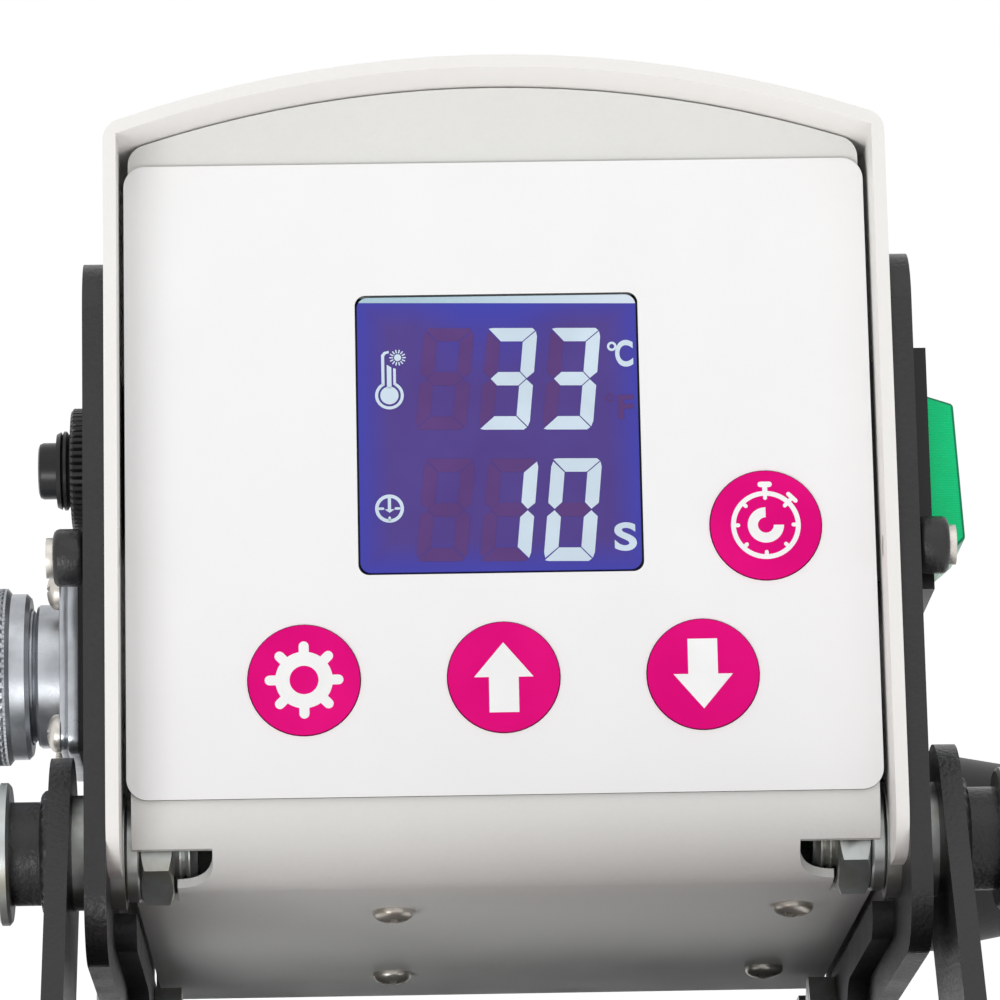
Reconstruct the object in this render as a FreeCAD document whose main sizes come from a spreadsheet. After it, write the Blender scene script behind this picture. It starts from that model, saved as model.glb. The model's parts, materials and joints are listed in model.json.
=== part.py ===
import FreeCAD
import Part
import Sketcher
import math
import os

# Small bench-top mug press, in millimetres.
# Row frame: +Z up, the control panel and the lever face -Y, the origin lies on the table under the middle.
# The control head is drawn in a frame of its own: X across, Y into the box, Z up along the panel. Its origin is
# where the panel's front plane meets the underside, and the whole head leans back about X by head_tilt.

Vector = FreeCAD.Vector
doc = FreeCAD.newDocument("bench_press")
sheet = doc.addObject("Spreadsheet::Sheet", "sizes")


class Size:
    """A length, ratio or angle that knows its number and the sheet expression it comes from."""

    def __init__(self, number, text):
        self.number = number
        self.text = text

    def __add__(self, other):
        other = as_size(other)
        return Size(self.number + other.number, f"({self.text} + {other.text})")

    def __sub__(self, other):
        other = as_size(other)
        return Size(self.number - other.number, f"({self.text} - {other.text})")

    def __mul__(self, other):
        other = as_size(other)
        return Size(self.number * other.number, f"({self.text} * {other.text})")

    def __truediv__(self, other):
        other = as_size(other)
        return Size(self.number / other.number, f"({self.text} / {other.text})")

    def __radd__(self, other):
        return as_size(other) + self

    def __rsub__(self, other):
        return as_size(other) - self

    def __rmul__(self, other):
        return as_size(other) * self

    def __neg__(self):
        return as_size(0) - self


def as_size(value):
    if isinstance(value, Size):
        return value
    return Size(float(value), f"({float(value):.9g})")


def cosine(degrees):
    return Size(math.cos(math.radians(degrees.number)), f"cos({degrees.text} * 1deg)")


def sine(degrees):
    return Size(math.sin(math.radians(degrees.number)), f"sin({degrees.text} * 1deg)")


def root(value):
    return Size(math.sqrt(value.number), f"sqrt({value.text})")


sheet_row = 0


def size(alias, number):
    """Writes one driving dimension into the sheet and hands it back."""
    global sheet_row
    sheet_row += 1
    cell = f"A{sheet_row}"
    sheet.set(cell, str(number))
    sheet.setAlias(cell, alias)
    return Size(float(number), f"sizes.{alias}")


# Head box
head_tilt = size("head_tilt", 30)
hood_width = size("hood_width", 109)
hood_gauge = size("hood_gauge", 1.8)
hood_shoulder = size("hood_shoulder", 105)
hood_crown = size("hood_crown", 114.5)
hood_overhang = size("hood_overhang", 9)
hood_foot = size("hood_foot", 0.8)
hood_toe_round = size("hood_toe_round", 7)
hood_shoulder_round = size("hood_shoulder_round", 3)
head_depth = size("head_depth", 116)
panel_gauge = size("panel_gauge", 1.2)
panel_gap = size("panel_gap", 1.3)
panel_bend = size("panel_bend", 11)
panel_shoulder_round = size("panel_shoulder_round", 3)
notch_inner = size("notch_inner", 40.4)
notch_top = size("notch_top", 4.6)
notch_depth = size("notch_depth", 8.6)
notch_round = size("notch_round", 5)
overlay_width = size("overlay_width", 104)
overlay_foot = size("overlay_foot", 11)
overlay_height = size("overlay_height", 90.3)
overlay_round = size("overlay_round", 3)
overlay_gauge = size("overlay_gauge", 0.5)
window_width = size("window_width", 39)
window_height = size("window_height", 39.4)
window_middle = size("window_middle", 62.1)
window_round = size("window_round", 1.5)
fit_gap = size("fit_gap", 0.3)

# Keys and boards
key_radius = size("key_radius", 7.7)
key_travel = size("key_travel", 0.4)
key_pitch = size("key_pitch", 27.5)
key_row = size("key_row", 27.4)
timer_key_across = size("timer_key_across", 36.8)
timer_key_height = size("timer_key_height", 48.3)
key_stem_radius = size("key_stem_radius", 2)
display_depth = size("display_depth", 8.1)
display_side = size("display_side", 46)
board_gauge = size("board_gauge", 1.6)
board_half_width = size("board_half_width", 41)
board_notch_inner = size("board_notch_inner", 30)
board_notch_foot = size("board_notch_foot", 47)
board_foot = size("board_foot", 13)
board_height = size("board_height", 84)
board_hole_inset = size("board_hole_inset", 4)
switch_depth = size("switch_depth", 3.6)
switch_side = size("switch_side", 6)
standoff_radius = size("standoff_radius", 2.8)
power_standoff = size("power_standoff", 6)
power_middle = size("power_middle", 12.8)
power_hole_across = size("power_hole_across", 28.4)
power_hole_front = size("power_hole_front", 30)
power_hole_rear = size("power_hole_rear", 91)
power_board_edge = size("power_board_edge", 5)
relay_place = size("relay_place", 31)
relay_width = size("relay_width", 12)
relay_length = size("relay_length", 30)
relay_height = size("relay_height", 20)
relay_start = size("relay_start", 36)
core_width = size("core_width", 38)
core_length = size("core_length", 34)
core_height = size("core_height", 26)
core_place = size("core_place", 15)
core_start = size("core_start", 46)
coil_inset = size("coil_inset", 5)
coil_overhang = size("coil_overhang", 4)
strip_width = size("strip_width", 50)
strip_length = size("strip_length", 11)
strip_height = size("strip_height", 9)
strip_start = size("strip_start", 84)
strip_place = size("strip_place", 27)
well_pitch = size("well_pitch", 9.5)
well_radius = size("well_radius", 2.2)
well_depth = size("well_depth", 5)
small_screw_radius = size("small_screw_radius", 1.5)
small_head_radius = size("small_head_radius", 2.9)
small_head_height = size("small_head_height", 2.2)
small_screw_length = size("small_screw_length", 6)

# Side plates and their fittings
plate_gauge = size("plate_gauge", 3)
plate_lead = size("plate_lead", 8)
plate_drop = size("plate_drop", 11.5)
plate_height = size("plate_height", 87)
plate_flat = size("plate_flat", 66)
plate_rear = size("plate_rear", 128)
plate_rear_height = size("plate_rear_height", 34)
plate_round = size("plate_round", 10)
plate_brow_round = size("plate_brow_round", 8)
boss_radius = size("boss_radius", 4)
boss_length = size("boss_length", 4.2)
boss_depth = size("boss_depth", -3.5)
boss_height = size("boss_height", 44.5)
boss_screw_rise = size("boss_screw_rise", 1)
boss_screw_radius = size("boss_screw_radius", 2.8)

# Left side: breaker and round connector
breaker_depth = size("breaker_depth", 14)
breaker_height = size("breaker_height", 61)
breaker_neck_radius = size("breaker_neck_radius", 5.6)
breaker_neck_length = size("breaker_neck_length", 4.6)
breaker_nut_radius = size("breaker_nut_radius", 8.8)
breaker_nut_length = size("breaker_nut_length", 2.5)
breaker_button_radius = size("breaker_button_radius", 4)
breaker_button_rise = size("breaker_button_rise", 2.6)
breaker_button_travel = size("breaker_button_travel", 3)
breaker_body_length = size("breaker_body_length", 20)
breaker_body_wide = size("breaker_body_wide", 16)
breaker_body_tall = size("breaker_body_tall", 22)
connector_depth = size("connector_depth", 25)
connector_height = size("connector_height", 33.6)
gasket_gauge = size("gasket_gauge", 1.6)
flange_side = size("flange_side", 26.5)
flange_gauge = size("flange_gauge", 2.8)
flange_hole_pitch = size("flange_hole_pitch", 20.4)
connector_tail_radius = size("connector_tail_radius", 8)
connector_tail_length = size("connector_tail_length", 14)
barrel_radius = size("barrel_radius", 10.2)
barrel_length = size("barrel_length", 3.5)
mouth_radius = size("mouth_radius", 9.5)
mouth_length = size("mouth_length", 8.6)
ring_start = size("ring_start", 4.4)
ring_shoulder_radius = size("ring_shoulder_radius", 11.8)
ring_shoulder_length = size("ring_shoulder_length", 2.8)
ring_radius = size("ring_radius", 12.6)
ring_length = size("ring_length", 12.7)
ring_lip = size("ring_lip", 2.3)
plug_neck_radius = size("plug_neck_radius", 8.4)
plug_shell_radius = size("plug_shell_radius", 9.6)
plug_shell_length = size("plug_shell_length", 9)
plug_clamp_radius = size("plug_clamp_radius", 7.4)
plug_clamp_length = size("plug_clamp_length", 4)
plug_bore_radius = size("plug_bore_radius", 3.2)
plug_bore_length = size("plug_bore_length", 10)

# Right side: rocker switch and cable gland
rocker_depth = size("rocker_depth", 14)
rocker_height = size("rocker_height", 56.5)
rocker_pivot = size("rocker_pivot", 1.5)
rocker_half_wide = size("rocker_half_wide", 9.4)
rocker_half_long = size("rocker_half_long", 13.2)
rocker_rise_low = size("rocker_rise_low", 9.7)
rocker_rise_high = size("rocker_rise_high", 8.1)
rocker_pin_radius = size("rocker_pin_radius", 1.5)
switch_frame_rise = size("switch_frame_rise", 2.6)
switch_frame_wall = size("switch_frame_wall", 1.3)
switch_body_length = size("switch_body_length", 11)
rocker_room = size("rocker_room", 1.2)
rocker_floor = size("rocker_floor", 7)
gland_depth = size("gland_depth", 50)
gland_height = size("gland_height", 10.6)
gland_thread_radius = size("gland_thread_radius", 8)
gland_radius = size("gland_radius", 14.6)
gland_collar = size("gland_collar", 6.5)
gland_taper_radius = size("gland_taper_radius", 12.4)
gland_taper_length = size("gland_taper_length", 10.5)
gland_nose_radius = size("gland_nose_radius", 8)
gland_nose_length = size("gland_nose_length", 11)
gland_bore_radius = size("gland_bore_radius", 4.2)
gland_tail = size("gland_tail", 6)

# Lever pivots, from the middle outwards
pivot_depth = size("pivot_depth", 10.6)
pivot_height = size("pivot_height", 5.7)
pivot_radius = size("pivot_radius", 4)
pivot_nut_across = size("pivot_nut_across", 13)
pivot_nut_length = size("pivot_nut_length", 4.5)
pivot_tail = size("pivot_tail", 3.3)
spring_washer_length = size("spring_washer_length", 2.1)
spring_washer_radius = size("spring_washer_radius", 7)
flat_washer_radius = size("flat_washer_radius", 8)
flat_washer_length = size("flat_washer_length", 2)
spacer_length = size("spacer_length", 2.2)
outer_washer_radius = size("outer_washer_radius", 9.9)
outer_washer_length = size("outer_washer_length", 1.7)
pivot_head_length = size("pivot_head_length", 5.3)
running_gap = size("running_gap", 0.06)

# Lever, handle and front jaw
lever_gauge = size("lever_gauge", 3)
lever_half_wide = size("lever_half_wide", 13.2)
lever_length = size("lever_length", 190)
lever_droop = size("lever_droop", 29.5)
lever_boss_radius = size("lever_boss_radius", 7.2)
lever_boss_length = size("lever_boss_length", 5.6)
lever_weld = size("lever_weld", 1.6)
lever_closing = size("lever_closing", 12.5)
handle_bar_radius = size("handle_bar_radius", 8)
handle_screw_radius = size("handle_screw_radius", 4)
handle_screw_length = size("handle_screw_length", 18)
handle_head_radius = size("handle_head_radius", 7)
handle_head_length = size("handle_head_length", 4)
grip_radius = size("grip_radius", 13)
grip_end_gap = size("grip_end_gap", 7)
grip_round = size("grip_round", 4)
jaw_pin_reach = size("jaw_pin_reach", 112)
jaw_pin_radius = size("jaw_pin_radius", 4)
jaw_pin_head_radius = size("jaw_pin_head_radius", 7)
jaw_pin_head_length = size("jaw_pin_head_length", 2.8)
jaw_ear_half = size("jaw_ear_half", 12)
jaw_ear_outer = size("jaw_ear_outer", 52.4)
jaw_boss_radius = size("jaw_boss_radius", 6.5)
jaw_side_gap = size("jaw_side_gap", 0.3)

# Mug well
mug_radius = size("mug_radius", 42)
mat_gauge = size("mat_gauge", 4)
shell_gauge = size("shell_gauge", 1.6)
jaw_half_angle = size("jaw_half_angle", 75)
jaw_height = size("jaw_height", 95)
jaw_drop = size("jaw_drop", 27)
mug_forward = size("mug_forward", 62)
jaw_arm_half_wide = size("jaw_arm_half_wide", 20)
jaw_arm_height = size("jaw_arm_height", 35)
jaw_arm_drop = size("jaw_arm_drop", 30)
jaw_arm_gauge = size("jaw_arm_gauge", 3)
rest_radius = size("rest_radius", 38)
rest_gauge = size("rest_gauge", 5)
rest_gap = size("rest_gap", 2)
rest_rim = size("rest_rim", 2)
post_radius = size("post_radius", 8)
post_foot_radius = size("post_foot_radius", 18)
post_foot_length = size("post_foot_length", 3)

# Frame and base
pivot_stand = size("pivot_stand", 170)
upright_gauge = size("upright_gauge", 3)
upright_setback = size("upright_setback", 40)
upright_wide = size("upright_wide", 60)
upright_round = size("upright_round", 9)
arm_start = size("arm_start", 19)
arm_height = size("arm_height", 5)
arm_clear = size("arm_clear", 1.5)
arm_round = size("arm_round", 3.5)
upright_flange = size("upright_flange", 23)
frame_bolt_radius = size("frame_bolt_radius", 2.5)
frame_bolt_drop = size("frame_bolt_drop", 6.5)
frame_bolt_front = size("frame_bolt_front", 88)
frame_bolt_rear = size("frame_bolt_rear", 108)
frame_bolt_head_radius = size("frame_bolt_head_radius", 4.6)
frame_bolt_head_length = size("frame_bolt_head_length", 2.8)
frame_nut_across = size("frame_nut_across", 8)
frame_nut_length = size("frame_nut_length", 4)
brace_gauge = size("brace_gauge", 2)
brace_lip = size("brace_lip", 14)
front_brace_drop = size("front_brace_drop", 51)
rear_brace_drop = size("rear_brace_drop", 80)
base_width = size("base_width", 200)
base_length = size("base_length", 282)
base_tail = size("base_tail", 53)
base_gauge = size("base_gauge", 2)
base_skirt = size("base_skirt", 14)
base_round = size("base_round", 12)
base_lift = size("base_lift", 6)
foot_radius = size("foot_radius", 11)
foot_toe_radius = size("foot_toe_radius", 9)
foot_inset = size("foot_inset", 18)
foot_screw_radius = size("foot_screw_radius", 2.5)
foot_screw_head_radius = size("foot_screw_head_radius", 4.6)
foot_screw_head_length = size("foot_screw_head_length", 3)
foot_recess_radius = size("foot_recess_radius", 5.4)
foot_recess_depth = size("foot_recess_depth", 5)
vent_width = size("vent_width", 44)
vent_height = size("vent_height", 3)
vent_pitch = size("vent_pitch", 7)
vent_count = 6
vent_foot = size("vent_foot", 50)
rear_lip = size("rear_lip", 12)
rear_screw_low = size("rear_screw_low", 70)
rear_screw_high = size("rear_screw_high", 95)

doc.recompute()

# Values that several pieces share
hood_half = hood_width / 2
hood_inner = hood_half - hood_gauge
panel_half = hood_inner - panel_gap
plate_outer = hood_half + plate_gauge
lever_inner = plate_outer + spacer_length
lever_outer = lever_inner + lever_gauge
arch_rise = hood_crown - hood_shoulder
arch_radius = (hood_half * hood_half + arch_rise * arch_rise) / (2 * arch_rise)
arch_middle = hood_crown - arch_radius
base_top = base_lift + base_skirt
lever_reach = cosine(lever_droop) * lever_length + lever_half_wide
pivot_y = (lever_reach - upright_setback - upright_wide - base_tail) / 2
base_rear = pivot_y + upright_setback + upright_wide + base_tail
pivot_z = pivot_stand
head_y = pivot_y - pivot_depth * cosine(head_tilt) - pivot_height * sine(head_tilt)
head_z = pivot_z + pivot_depth * sine(head_tilt) - pivot_height * cosine(head_tilt)

# Frames: the place of the frame's origin, and its turn about X
HEAD = (head_y, head_z, -head_tilt)
LEVER = (pivot_y, pivot_z, lever_droop)
JAW = (pivot_y, pivot_z, -lever_closing)
WORLD = (as_size(0), as_size(0), as_size(0))

nodes = []


def tie(item, prop, value):
    item.setExpression(prop, as_size(value).text)


def numbers(values):
    return [as_size(value).number for value in values]


def settle(item, frame, at=(0, 0, 0)):
    """Places an object at a point of a frame, turned with that frame."""
    frame_y, frame_z, turn = frame
    across, along, up = (as_size(value) for value in at)
    place_y = frame_y + along * cosine(turn) - up * sine(turn)
    place_z = frame_z + along * sine(turn) + up * cosine(turn)
    rotation = FreeCAD.Rotation(Vector(1, 0, 0), turn.number)
    spot = Vector(across.number, place_y.number, place_z.number)
    item.Placement = FreeCAD.Placement(spot, rotation)
    tie(item, "Placement.Base.x", across)
    tie(item, "Placement.Base.y", place_y)
    tie(item, "Placement.Base.z", place_z)
    if turn.number:
        item.setExpression("Placement.Rotation.Angle", f"{turn.text} * 1deg")


def node(item, label, frame=WORLD, at=(0, 0, 0)):
    """Makes an object one of the part's sub-parts."""
    settle(item, frame, at)
    item.Label = label
    nodes.append(item)
    return item


# Part primitives and booleans
def move(item, at):
    spot = [as_size(value) for value in at]
    item.Placement.Base = Vector(*[value.number for value in spot])
    for axis, value in zip("xyz", spot):
        tie(item, f"Placement.Base.{axis}", value)


def block(name, low, lengths):
    item = doc.addObject("Part::Box", name)
    for prop, value in zip(("Length", "Width", "Height"), lengths):
        setattr(item, prop, as_size(value).number)
        tie(item, prop, value)
    move(item, low)
    return item


TURNS = {
    "X": FreeCAD.Rotation(Vector(0, 1, 0), 90),
    "Y": FreeCAD.Rotation(Vector(1, 0, 0), -90),
    "Z": FreeCAD.Rotation(),
}


def rod(name, radius, length, at, axis="X"):
    """A cylinder that starts at a point and runs along +X, +Y or +Z."""
    item = doc.addObject("Part::Cylinder", name)
    item.Placement.Rotation = TURNS[axis]
    tie(item, "Radius", radius)
    tie(item, "Height", length)
    move(item, at)
    return item


def hexagon(name, across_flats, length, at, axis="X"):
    item = doc.addObject("Part::Prism", name)
    item.Polygon = 6
    item.Placement.Rotation = TURNS[axis]
    tie(item, "Circumradius", across_flats / as_size(math.sqrt(3)))
    tie(item, "Height", length)
    move(item, at)
    return item


def joined(name, items):
    item = doc.addObject("Part::MultiFuse", name)
    item.Shapes = items
    return item


def cut(name, base, tools):
    item = doc.addObject("Part::Cut", name)
    item.Base = base
    item.Tool = tools[0] if len(tools) == 1 else joined(name + "_tools", tools)
    return item


def group(name, items):
    item = doc.addObject("Part::Compound", name)
    item.Links = items
    return item


# Bodies with sketches
def origin_plane(body, role):
    return next(feature for feature in body.Origin.OriginFeatures if feature.Role == role)


def sketch(body, name, plane, outlines, circles=(), offset=None):
    """Draws closed outlines and circles on an origin plane of a body, every point tied to the sheet.

    An outline is a list of corners (u, v). A corner may carry an arc to the next one as (u, v, radius, through),
    where through is a point that the arc passes near.
    """
    item = body.newObject("Sketcher::SketchObject", name)
    item.AttachmentSupport = [(origin_plane(body, plane), "")]
    item.MapMode = "FlatFace"
    if offset is not None:
        item.AttachmentOffset = FreeCAD.Placement(Vector(0, 0, as_size(offset).number), FreeCAD.Rotation())
        tie(item, "AttachmentOffset.Base.z", offset)
    for corners in outlines:
        edges = []
        for place, corner in enumerate(corners):
            start = Vector(*numbers(corner[:2]), 0)
            end = Vector(*numbers(corners[(place + 1) % len(corners)][:2]), 0)
            if len(corner) == 4:
                through = Vector(*numbers(corner[3]), 0)
                shape = arc_near(start, end, as_size(corner[2]).number, through)
                forward = shape.StartPoint.distanceToPoint(start) < shape.EndPoint.distanceToPoint(start)
            else:
                shape = Part.LineSegment(start, end)
                forward = True
            edges.append((item.addGeometry(shape, False), forward))
        for place, (edge, forward) in enumerate(edges):
            following, following_forward = edges[(place + 1) % len(edges)]
            last = 2 if forward else 1
            first = 1 if following_forward else 2
            item.addConstraint(Sketcher.Constraint("Coincident", edge, last, following, first))
        for (edge, forward), corner in zip(edges, corners):
            first = 1 if forward else 2
            bind(item, "DistanceX", (-1, 1, edge, first), corner[0])
            bind(item, "DistanceY", (-1, 1, edge, first), corner[1])
            if len(corner) == 4:
                bind(item, "Radius", (edge,), corner[2])
    for across, up, radius in circles:
        centre = Vector(*numbers((across, up)), 0)
        edge = item.addGeometry(Part.Circle(centre, Vector(0, 0, 1), as_size(radius).number), False)
        bind(item, "DistanceX", (-1, 1, edge, 3), across)
        bind(item, "DistanceY", (-1, 1, edge, 3), up)
        bind(item, "Radius", (edge,), radius)
    return item


def arc_near(start, end, radius, through):
    """The arc of a radius between two points, on the side of a third and no longer than half a turn.

    Sketches only hold arcs that run anticlockwise, so the arc may run from end to start.
    """
    middle = (start + end) * 0.5
    half = start.distanceToPoint(end) / 2
    along = (end - start) * (1 / (2 * half))
    side = through - middle
    outward = side - along * side.dot(along)
    outward.normalize()
    centre = middle - outward * math.sqrt(max(radius * radius - half * half, 0))
    first, last = start - centre, end - centre
    if first.x * last.y - first.y * last.x < 0:
        first, last = last, first
    angles = [math.atan2(spoke.y, spoke.x) for spoke in (first, last)]
    return Part.ArcOfCircle(Part.Circle(centre, Vector(0, 0, 1), radius), *angles)


def bind(item, kind, where, value):
    value = as_size(value)
    place = item.addConstraint(Sketcher.Constraint(kind, *where, value.number))
    name = f"{kind}_{place}"
    item.renameConstraint(place, name)
    tie(item, f"Constraints.{name}", value)


def pad(body, name, profile, length, middle=False, reverse=False):
    item = body.newObject("PartDesign::Pad", name)
    item.Profile = profile
    item.Midplane = middle
    item.Reversed = reverse
    tie(item, "Length", length)
    body.Tip = item
    return item


def pocket(body, name, profile, length=None, reverse=False):
    """Cuts a profile into a body, by a length or right through."""
    item = body.newObject("PartDesign::Pocket", name)
    item.Profile = profile
    item.Reversed = reverse
    if length is None:
        item.Type = 1
    else:
        tie(item, "Length", length)
    body.Tip = item
    return item


def round_edges(body, name, radius, axis, corners):
    """Rounds the straight edges along an axis that pass through the given corners of the other two axes."""
    doc.recompute()
    base = body.Tip
    keep = [place for place in range(3) if place != "XYZ".index(axis)]
    spots = [numbers(corner) for corner in corners]
    picked = []
    for count, edge in enumerate(base.Shape.Edges, 1):
        ends = [vertex.Point for vertex in edge.Vertexes]
        if len(ends) != 2 or not isinstance(edge.Curve, Part.Line):
            continue
        for spot in spots:
            if all(abs(end[keep[i]] - spot[i]) < 1e-4 for end in ends for i in range(2)):
                picked.append(f"Edge{count}")
    item = body.newObject("PartDesign::Fillet", name)
    item.Base = (base, picked)
    tie(item, "Radius", radius)
    body.Tip = item
    return item


def new_body(name):
    return doc.addObject("PartDesign::Body", name)


def plate(name, outline, start, gauge, holes=(), slots=()):
    """A flat plate drawn in the YZ plane that runs from start along +X by its gauge."""
    body = new_body(name)
    drawing = sketch(body, name + "_outline", "YZ_Plane", [outline, *slots], holes, offset=start)
    pad(body, name + "_pad", drawing, gauge)
    return body


def turned(name, profile, axis="X"):
    """A turned piece: the profile's corners are (place along the axis, radius)."""
    body = new_body(name)
    corners = profile
    plane = "XY_Plane" if axis == "X" else "YZ_Plane"
    line = "H_Axis"
    if axis == "Z":
        corners = [(corner[1], corner[0], *corner[2:]) for corner in profile]
        line = "V_Axis"
    drawing = sketch(body, name + "_profile", plane, [corners])
    item = body.newObject("PartDesign::Revolution", name + "_turn")
    item.Profile = drawing
    item.ReferenceAxis = (drawing, [line])
    item.Angle = 360
    body.Tip = item
    return body


def rectangle(low_u, high_u, low_v, high_v):
    return [(low_u, low_v), (high_u, low_v), (high_u, high_v), (low_u, high_v)]


def rounded_rectangle(low_u, high_u, low_v, high_v, radius):
    """A rectangle with round corners, drawn anticlockwise from the low edge."""
    return [
        (low_u + radius, low_v),
        (high_u - radius, low_v, radius, (high_u, low_v)),
        (high_u, low_v + radius),
        (high_u, high_v - radius, radius, (high_u, high_v)),
        (high_u - radius, high_v),
        (low_u + radius, high_v, radius, (low_u, high_v)),
        (low_u, high_v - radius),
        (low_u, low_v + radius, radius, (low_u, low_v)),
    ]


def ring_profile(start, length, inner, outer):
    return rectangle(start, start + length, inner, outer)


def both_sides(make):
    """Calls make for the left side, -1, and the right side, +1."""
    return [make(side) for side in (-1, 1)]


def outward(side, inner, length):
    """Where a piece starts along +X when it runs outwards from inner on one side."""
    return inner if side > 0 else -(inner + length)


# Holes that the hood walls and the side plates share
connector_hole = (connector_depth, connector_height, connector_tail_radius + fit_gap)
breaker_hole = (breaker_depth, breaker_height, breaker_neck_radius + fit_gap)
gland_hole = (gland_depth, gland_height, gland_thread_radius + fit_gap)
switch_half_wide = rocker_half_wide + 3 * fit_gap
switch_half_long = rocker_half_long + rocker_room
switch_hole = rectangle(
    rocker_depth - switch_half_wide - switch_frame_wall,
    rocker_depth + switch_half_wide + switch_frame_wall,
    rocker_height - switch_half_long - switch_frame_wall,
    rocker_height + switch_half_long + switch_frame_wall,
)
flange_holes = [
    (connector_depth + across * flange_hole_pitch / 2, connector_height + up * flange_hole_pitch / 2,
     small_screw_radius)
    for across in (-1, 1)
    for up in (-1, 1)
]
frame_bolt_spots = [(place, -frame_bolt_drop) for place in (frame_bolt_front, frame_bolt_rear)]


# Hood: an arched sheet that wraps the top and both sides
def arch(half, radius):
    """Height of the arch of a radius at a distance from the middle."""
    return arch_middle + root(radius * radius - half * half)


def make_hood():
    body = new_body("hood_body")
    inner_radius = arch_radius - hood_gauge
    inner_shoulder = arch(hood_inner, inner_radius)
    profile = [
        (-hood_half, hood_foot),
        (-hood_half, hood_shoulder, arch_radius, (0, hood_crown)),
        (hood_half, hood_shoulder),
        (hood_half, hood_foot),
        (hood_inner, hood_foot),
        (hood_inner, inner_shoulder, inner_radius, (0, hood_crown - hood_gauge)),
        (-hood_inner, inner_shoulder),
        (-hood_inner, hood_foot),
    ]
    drawing = sketch(body, "hood_arch", "XZ_Plane", [profile], offset=hood_overhang)
    pad(body, "hood_pad", drawing, hood_overhang + head_depth, reverse=True)
    shoulders = [(side * hood_half, hood_shoulder) for side in (-1, 1)]
    round_edges(body, "hood_shoulders", hood_shoulder_round, "Y", shoulders)
    round_edges(body, "hood_toes", hood_toe_round, "X", [(-hood_overhang, hood_foot)])
    rear_holes = [(head_depth - rear_lip / 2, up, small_screw_radius + fit_gap)
                  for up in (rear_screw_low, rear_screw_high)]
    clear = flat_washer_radius + 2 * fit_gap
    crown = pivot_height + clear
    slot = [
        (pivot_depth - clear, pivot_height, clear, (pivot_depth - clear, crown)),
        (pivot_depth, crown, clear, (pivot_depth + clear, crown)),
        (pivot_depth + clear, pivot_height),
        (pivot_depth + clear, hood_foot - 2),
        (pivot_depth - clear, hood_foot - 2),
    ]
    boss_hole = (boss_depth, boss_height, small_screw_radius)
    left = sketch(body, "hood_left_holes", "YZ_Plane", [slot],
                  [connector_hole, breaker_hole, boss_hole, *flange_holes, *rear_holes])
    pocket(body, "hood_left_cut", left)
    right = sketch(body, "hood_right_holes", "YZ_Plane", [slot, switch_hole],
                   [gland_hole, boss_hole, *rear_holes])
    pocket(body, "hood_right_cut", right, reverse=True)
    node(body, "hood_cover", HEAD)


# Chassis: front panel and underside in one sheet with a round bend
key_spots = {
    "settings_key": (-key_pitch, key_row),
    "up_key": (as_size(0), key_row),
    "down_key": (key_pitch, key_row),
    "timer_key": (timer_key_across, timer_key_height),
}


def window_outline(extra):
    half = window_width / 2 + extra
    return rectangle(-half, half, window_middle - window_height / 2 - extra,
                     window_middle + window_height / 2 + extra)


def make_chassis():
    body = new_body("chassis_body")
    radius = arch_radius - hood_gauge - fit_gap
    shoulder = arch(panel_half, radius)
    front = [
        (-panel_half, panel_bend),
        (-panel_half, shoulder, radius, (0, hood_crown)),
        (panel_half, shoulder),
        (panel_half, panel_bend),
    ]
    holes = [(across, up, key_radius + 2 * fit_gap) for across, up in key_spots.values()]
    drawing = sketch(body, "panel_face", "XZ_Plane", [front, window_outline(fit_gap)], holes)
    pad(body, "panel_pad", drawing, panel_gauge, reverse=True)
    corner = as_size(math.sqrt(0.5))
    inner_bend = panel_bend - panel_gauge
    rear = head_depth - panel_gauge
    bend = [
        (0, panel_bend, panel_bend, (panel_bend * (1 - corner), panel_bend * (1 - corner))),
        (panel_bend, 0),
        (rear, 0),
        (rear, panel_gauge),
        (panel_bend, panel_gauge, inner_bend,
         (panel_bend - inner_bend * corner, panel_bend - inner_bend * corner)),
        (panel_gauge, panel_bend),
    ]
    side = sketch(body, "underside_profile", "YZ_Plane", [bend])
    pad(body, "underside_pad", side, 2 * panel_half, middle=True)
    step = notch_inner + notch_round
    back = pivot_depth + pivot_nut_across * 0.6
    notches = [
        [
            (way * notch_inner, -1),
            (way * notch_inner, notch_depth - notch_round, notch_round, (way * notch_inner, notch_depth)),
            (way * step, notch_depth),
            (way * step, back),
            (way * (panel_half + 1), back),
            (way * (panel_half + 1), -1),
        ]
        for way in (-1, 1)
    ]
    shoulders = [(side * panel_half, shoulder) for side in (-1, 1)]
    round_edges(body, "panel_shoulders", panel_shoulder_round, "Y", shoulders)
    notch = sketch(body, "bolt_notches", "XY_Plane", notches)
    pocket(body, "bolt_notch_cut", notch, notch_top, reverse=True)
    screws = [(power_middle + way * power_hole_across, place, small_screw_radius + fit_gap)
              for way in (-1, 1) for place in (power_hole_front, power_hole_rear)]
    drilled = sketch(body, "underside_holes", "XY_Plane", [], screws)
    pocket(body, "underside_hole_cut", drilled, 2 * panel_gauge, reverse=True)
    node(body, "front_chassis", HEAD)


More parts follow.
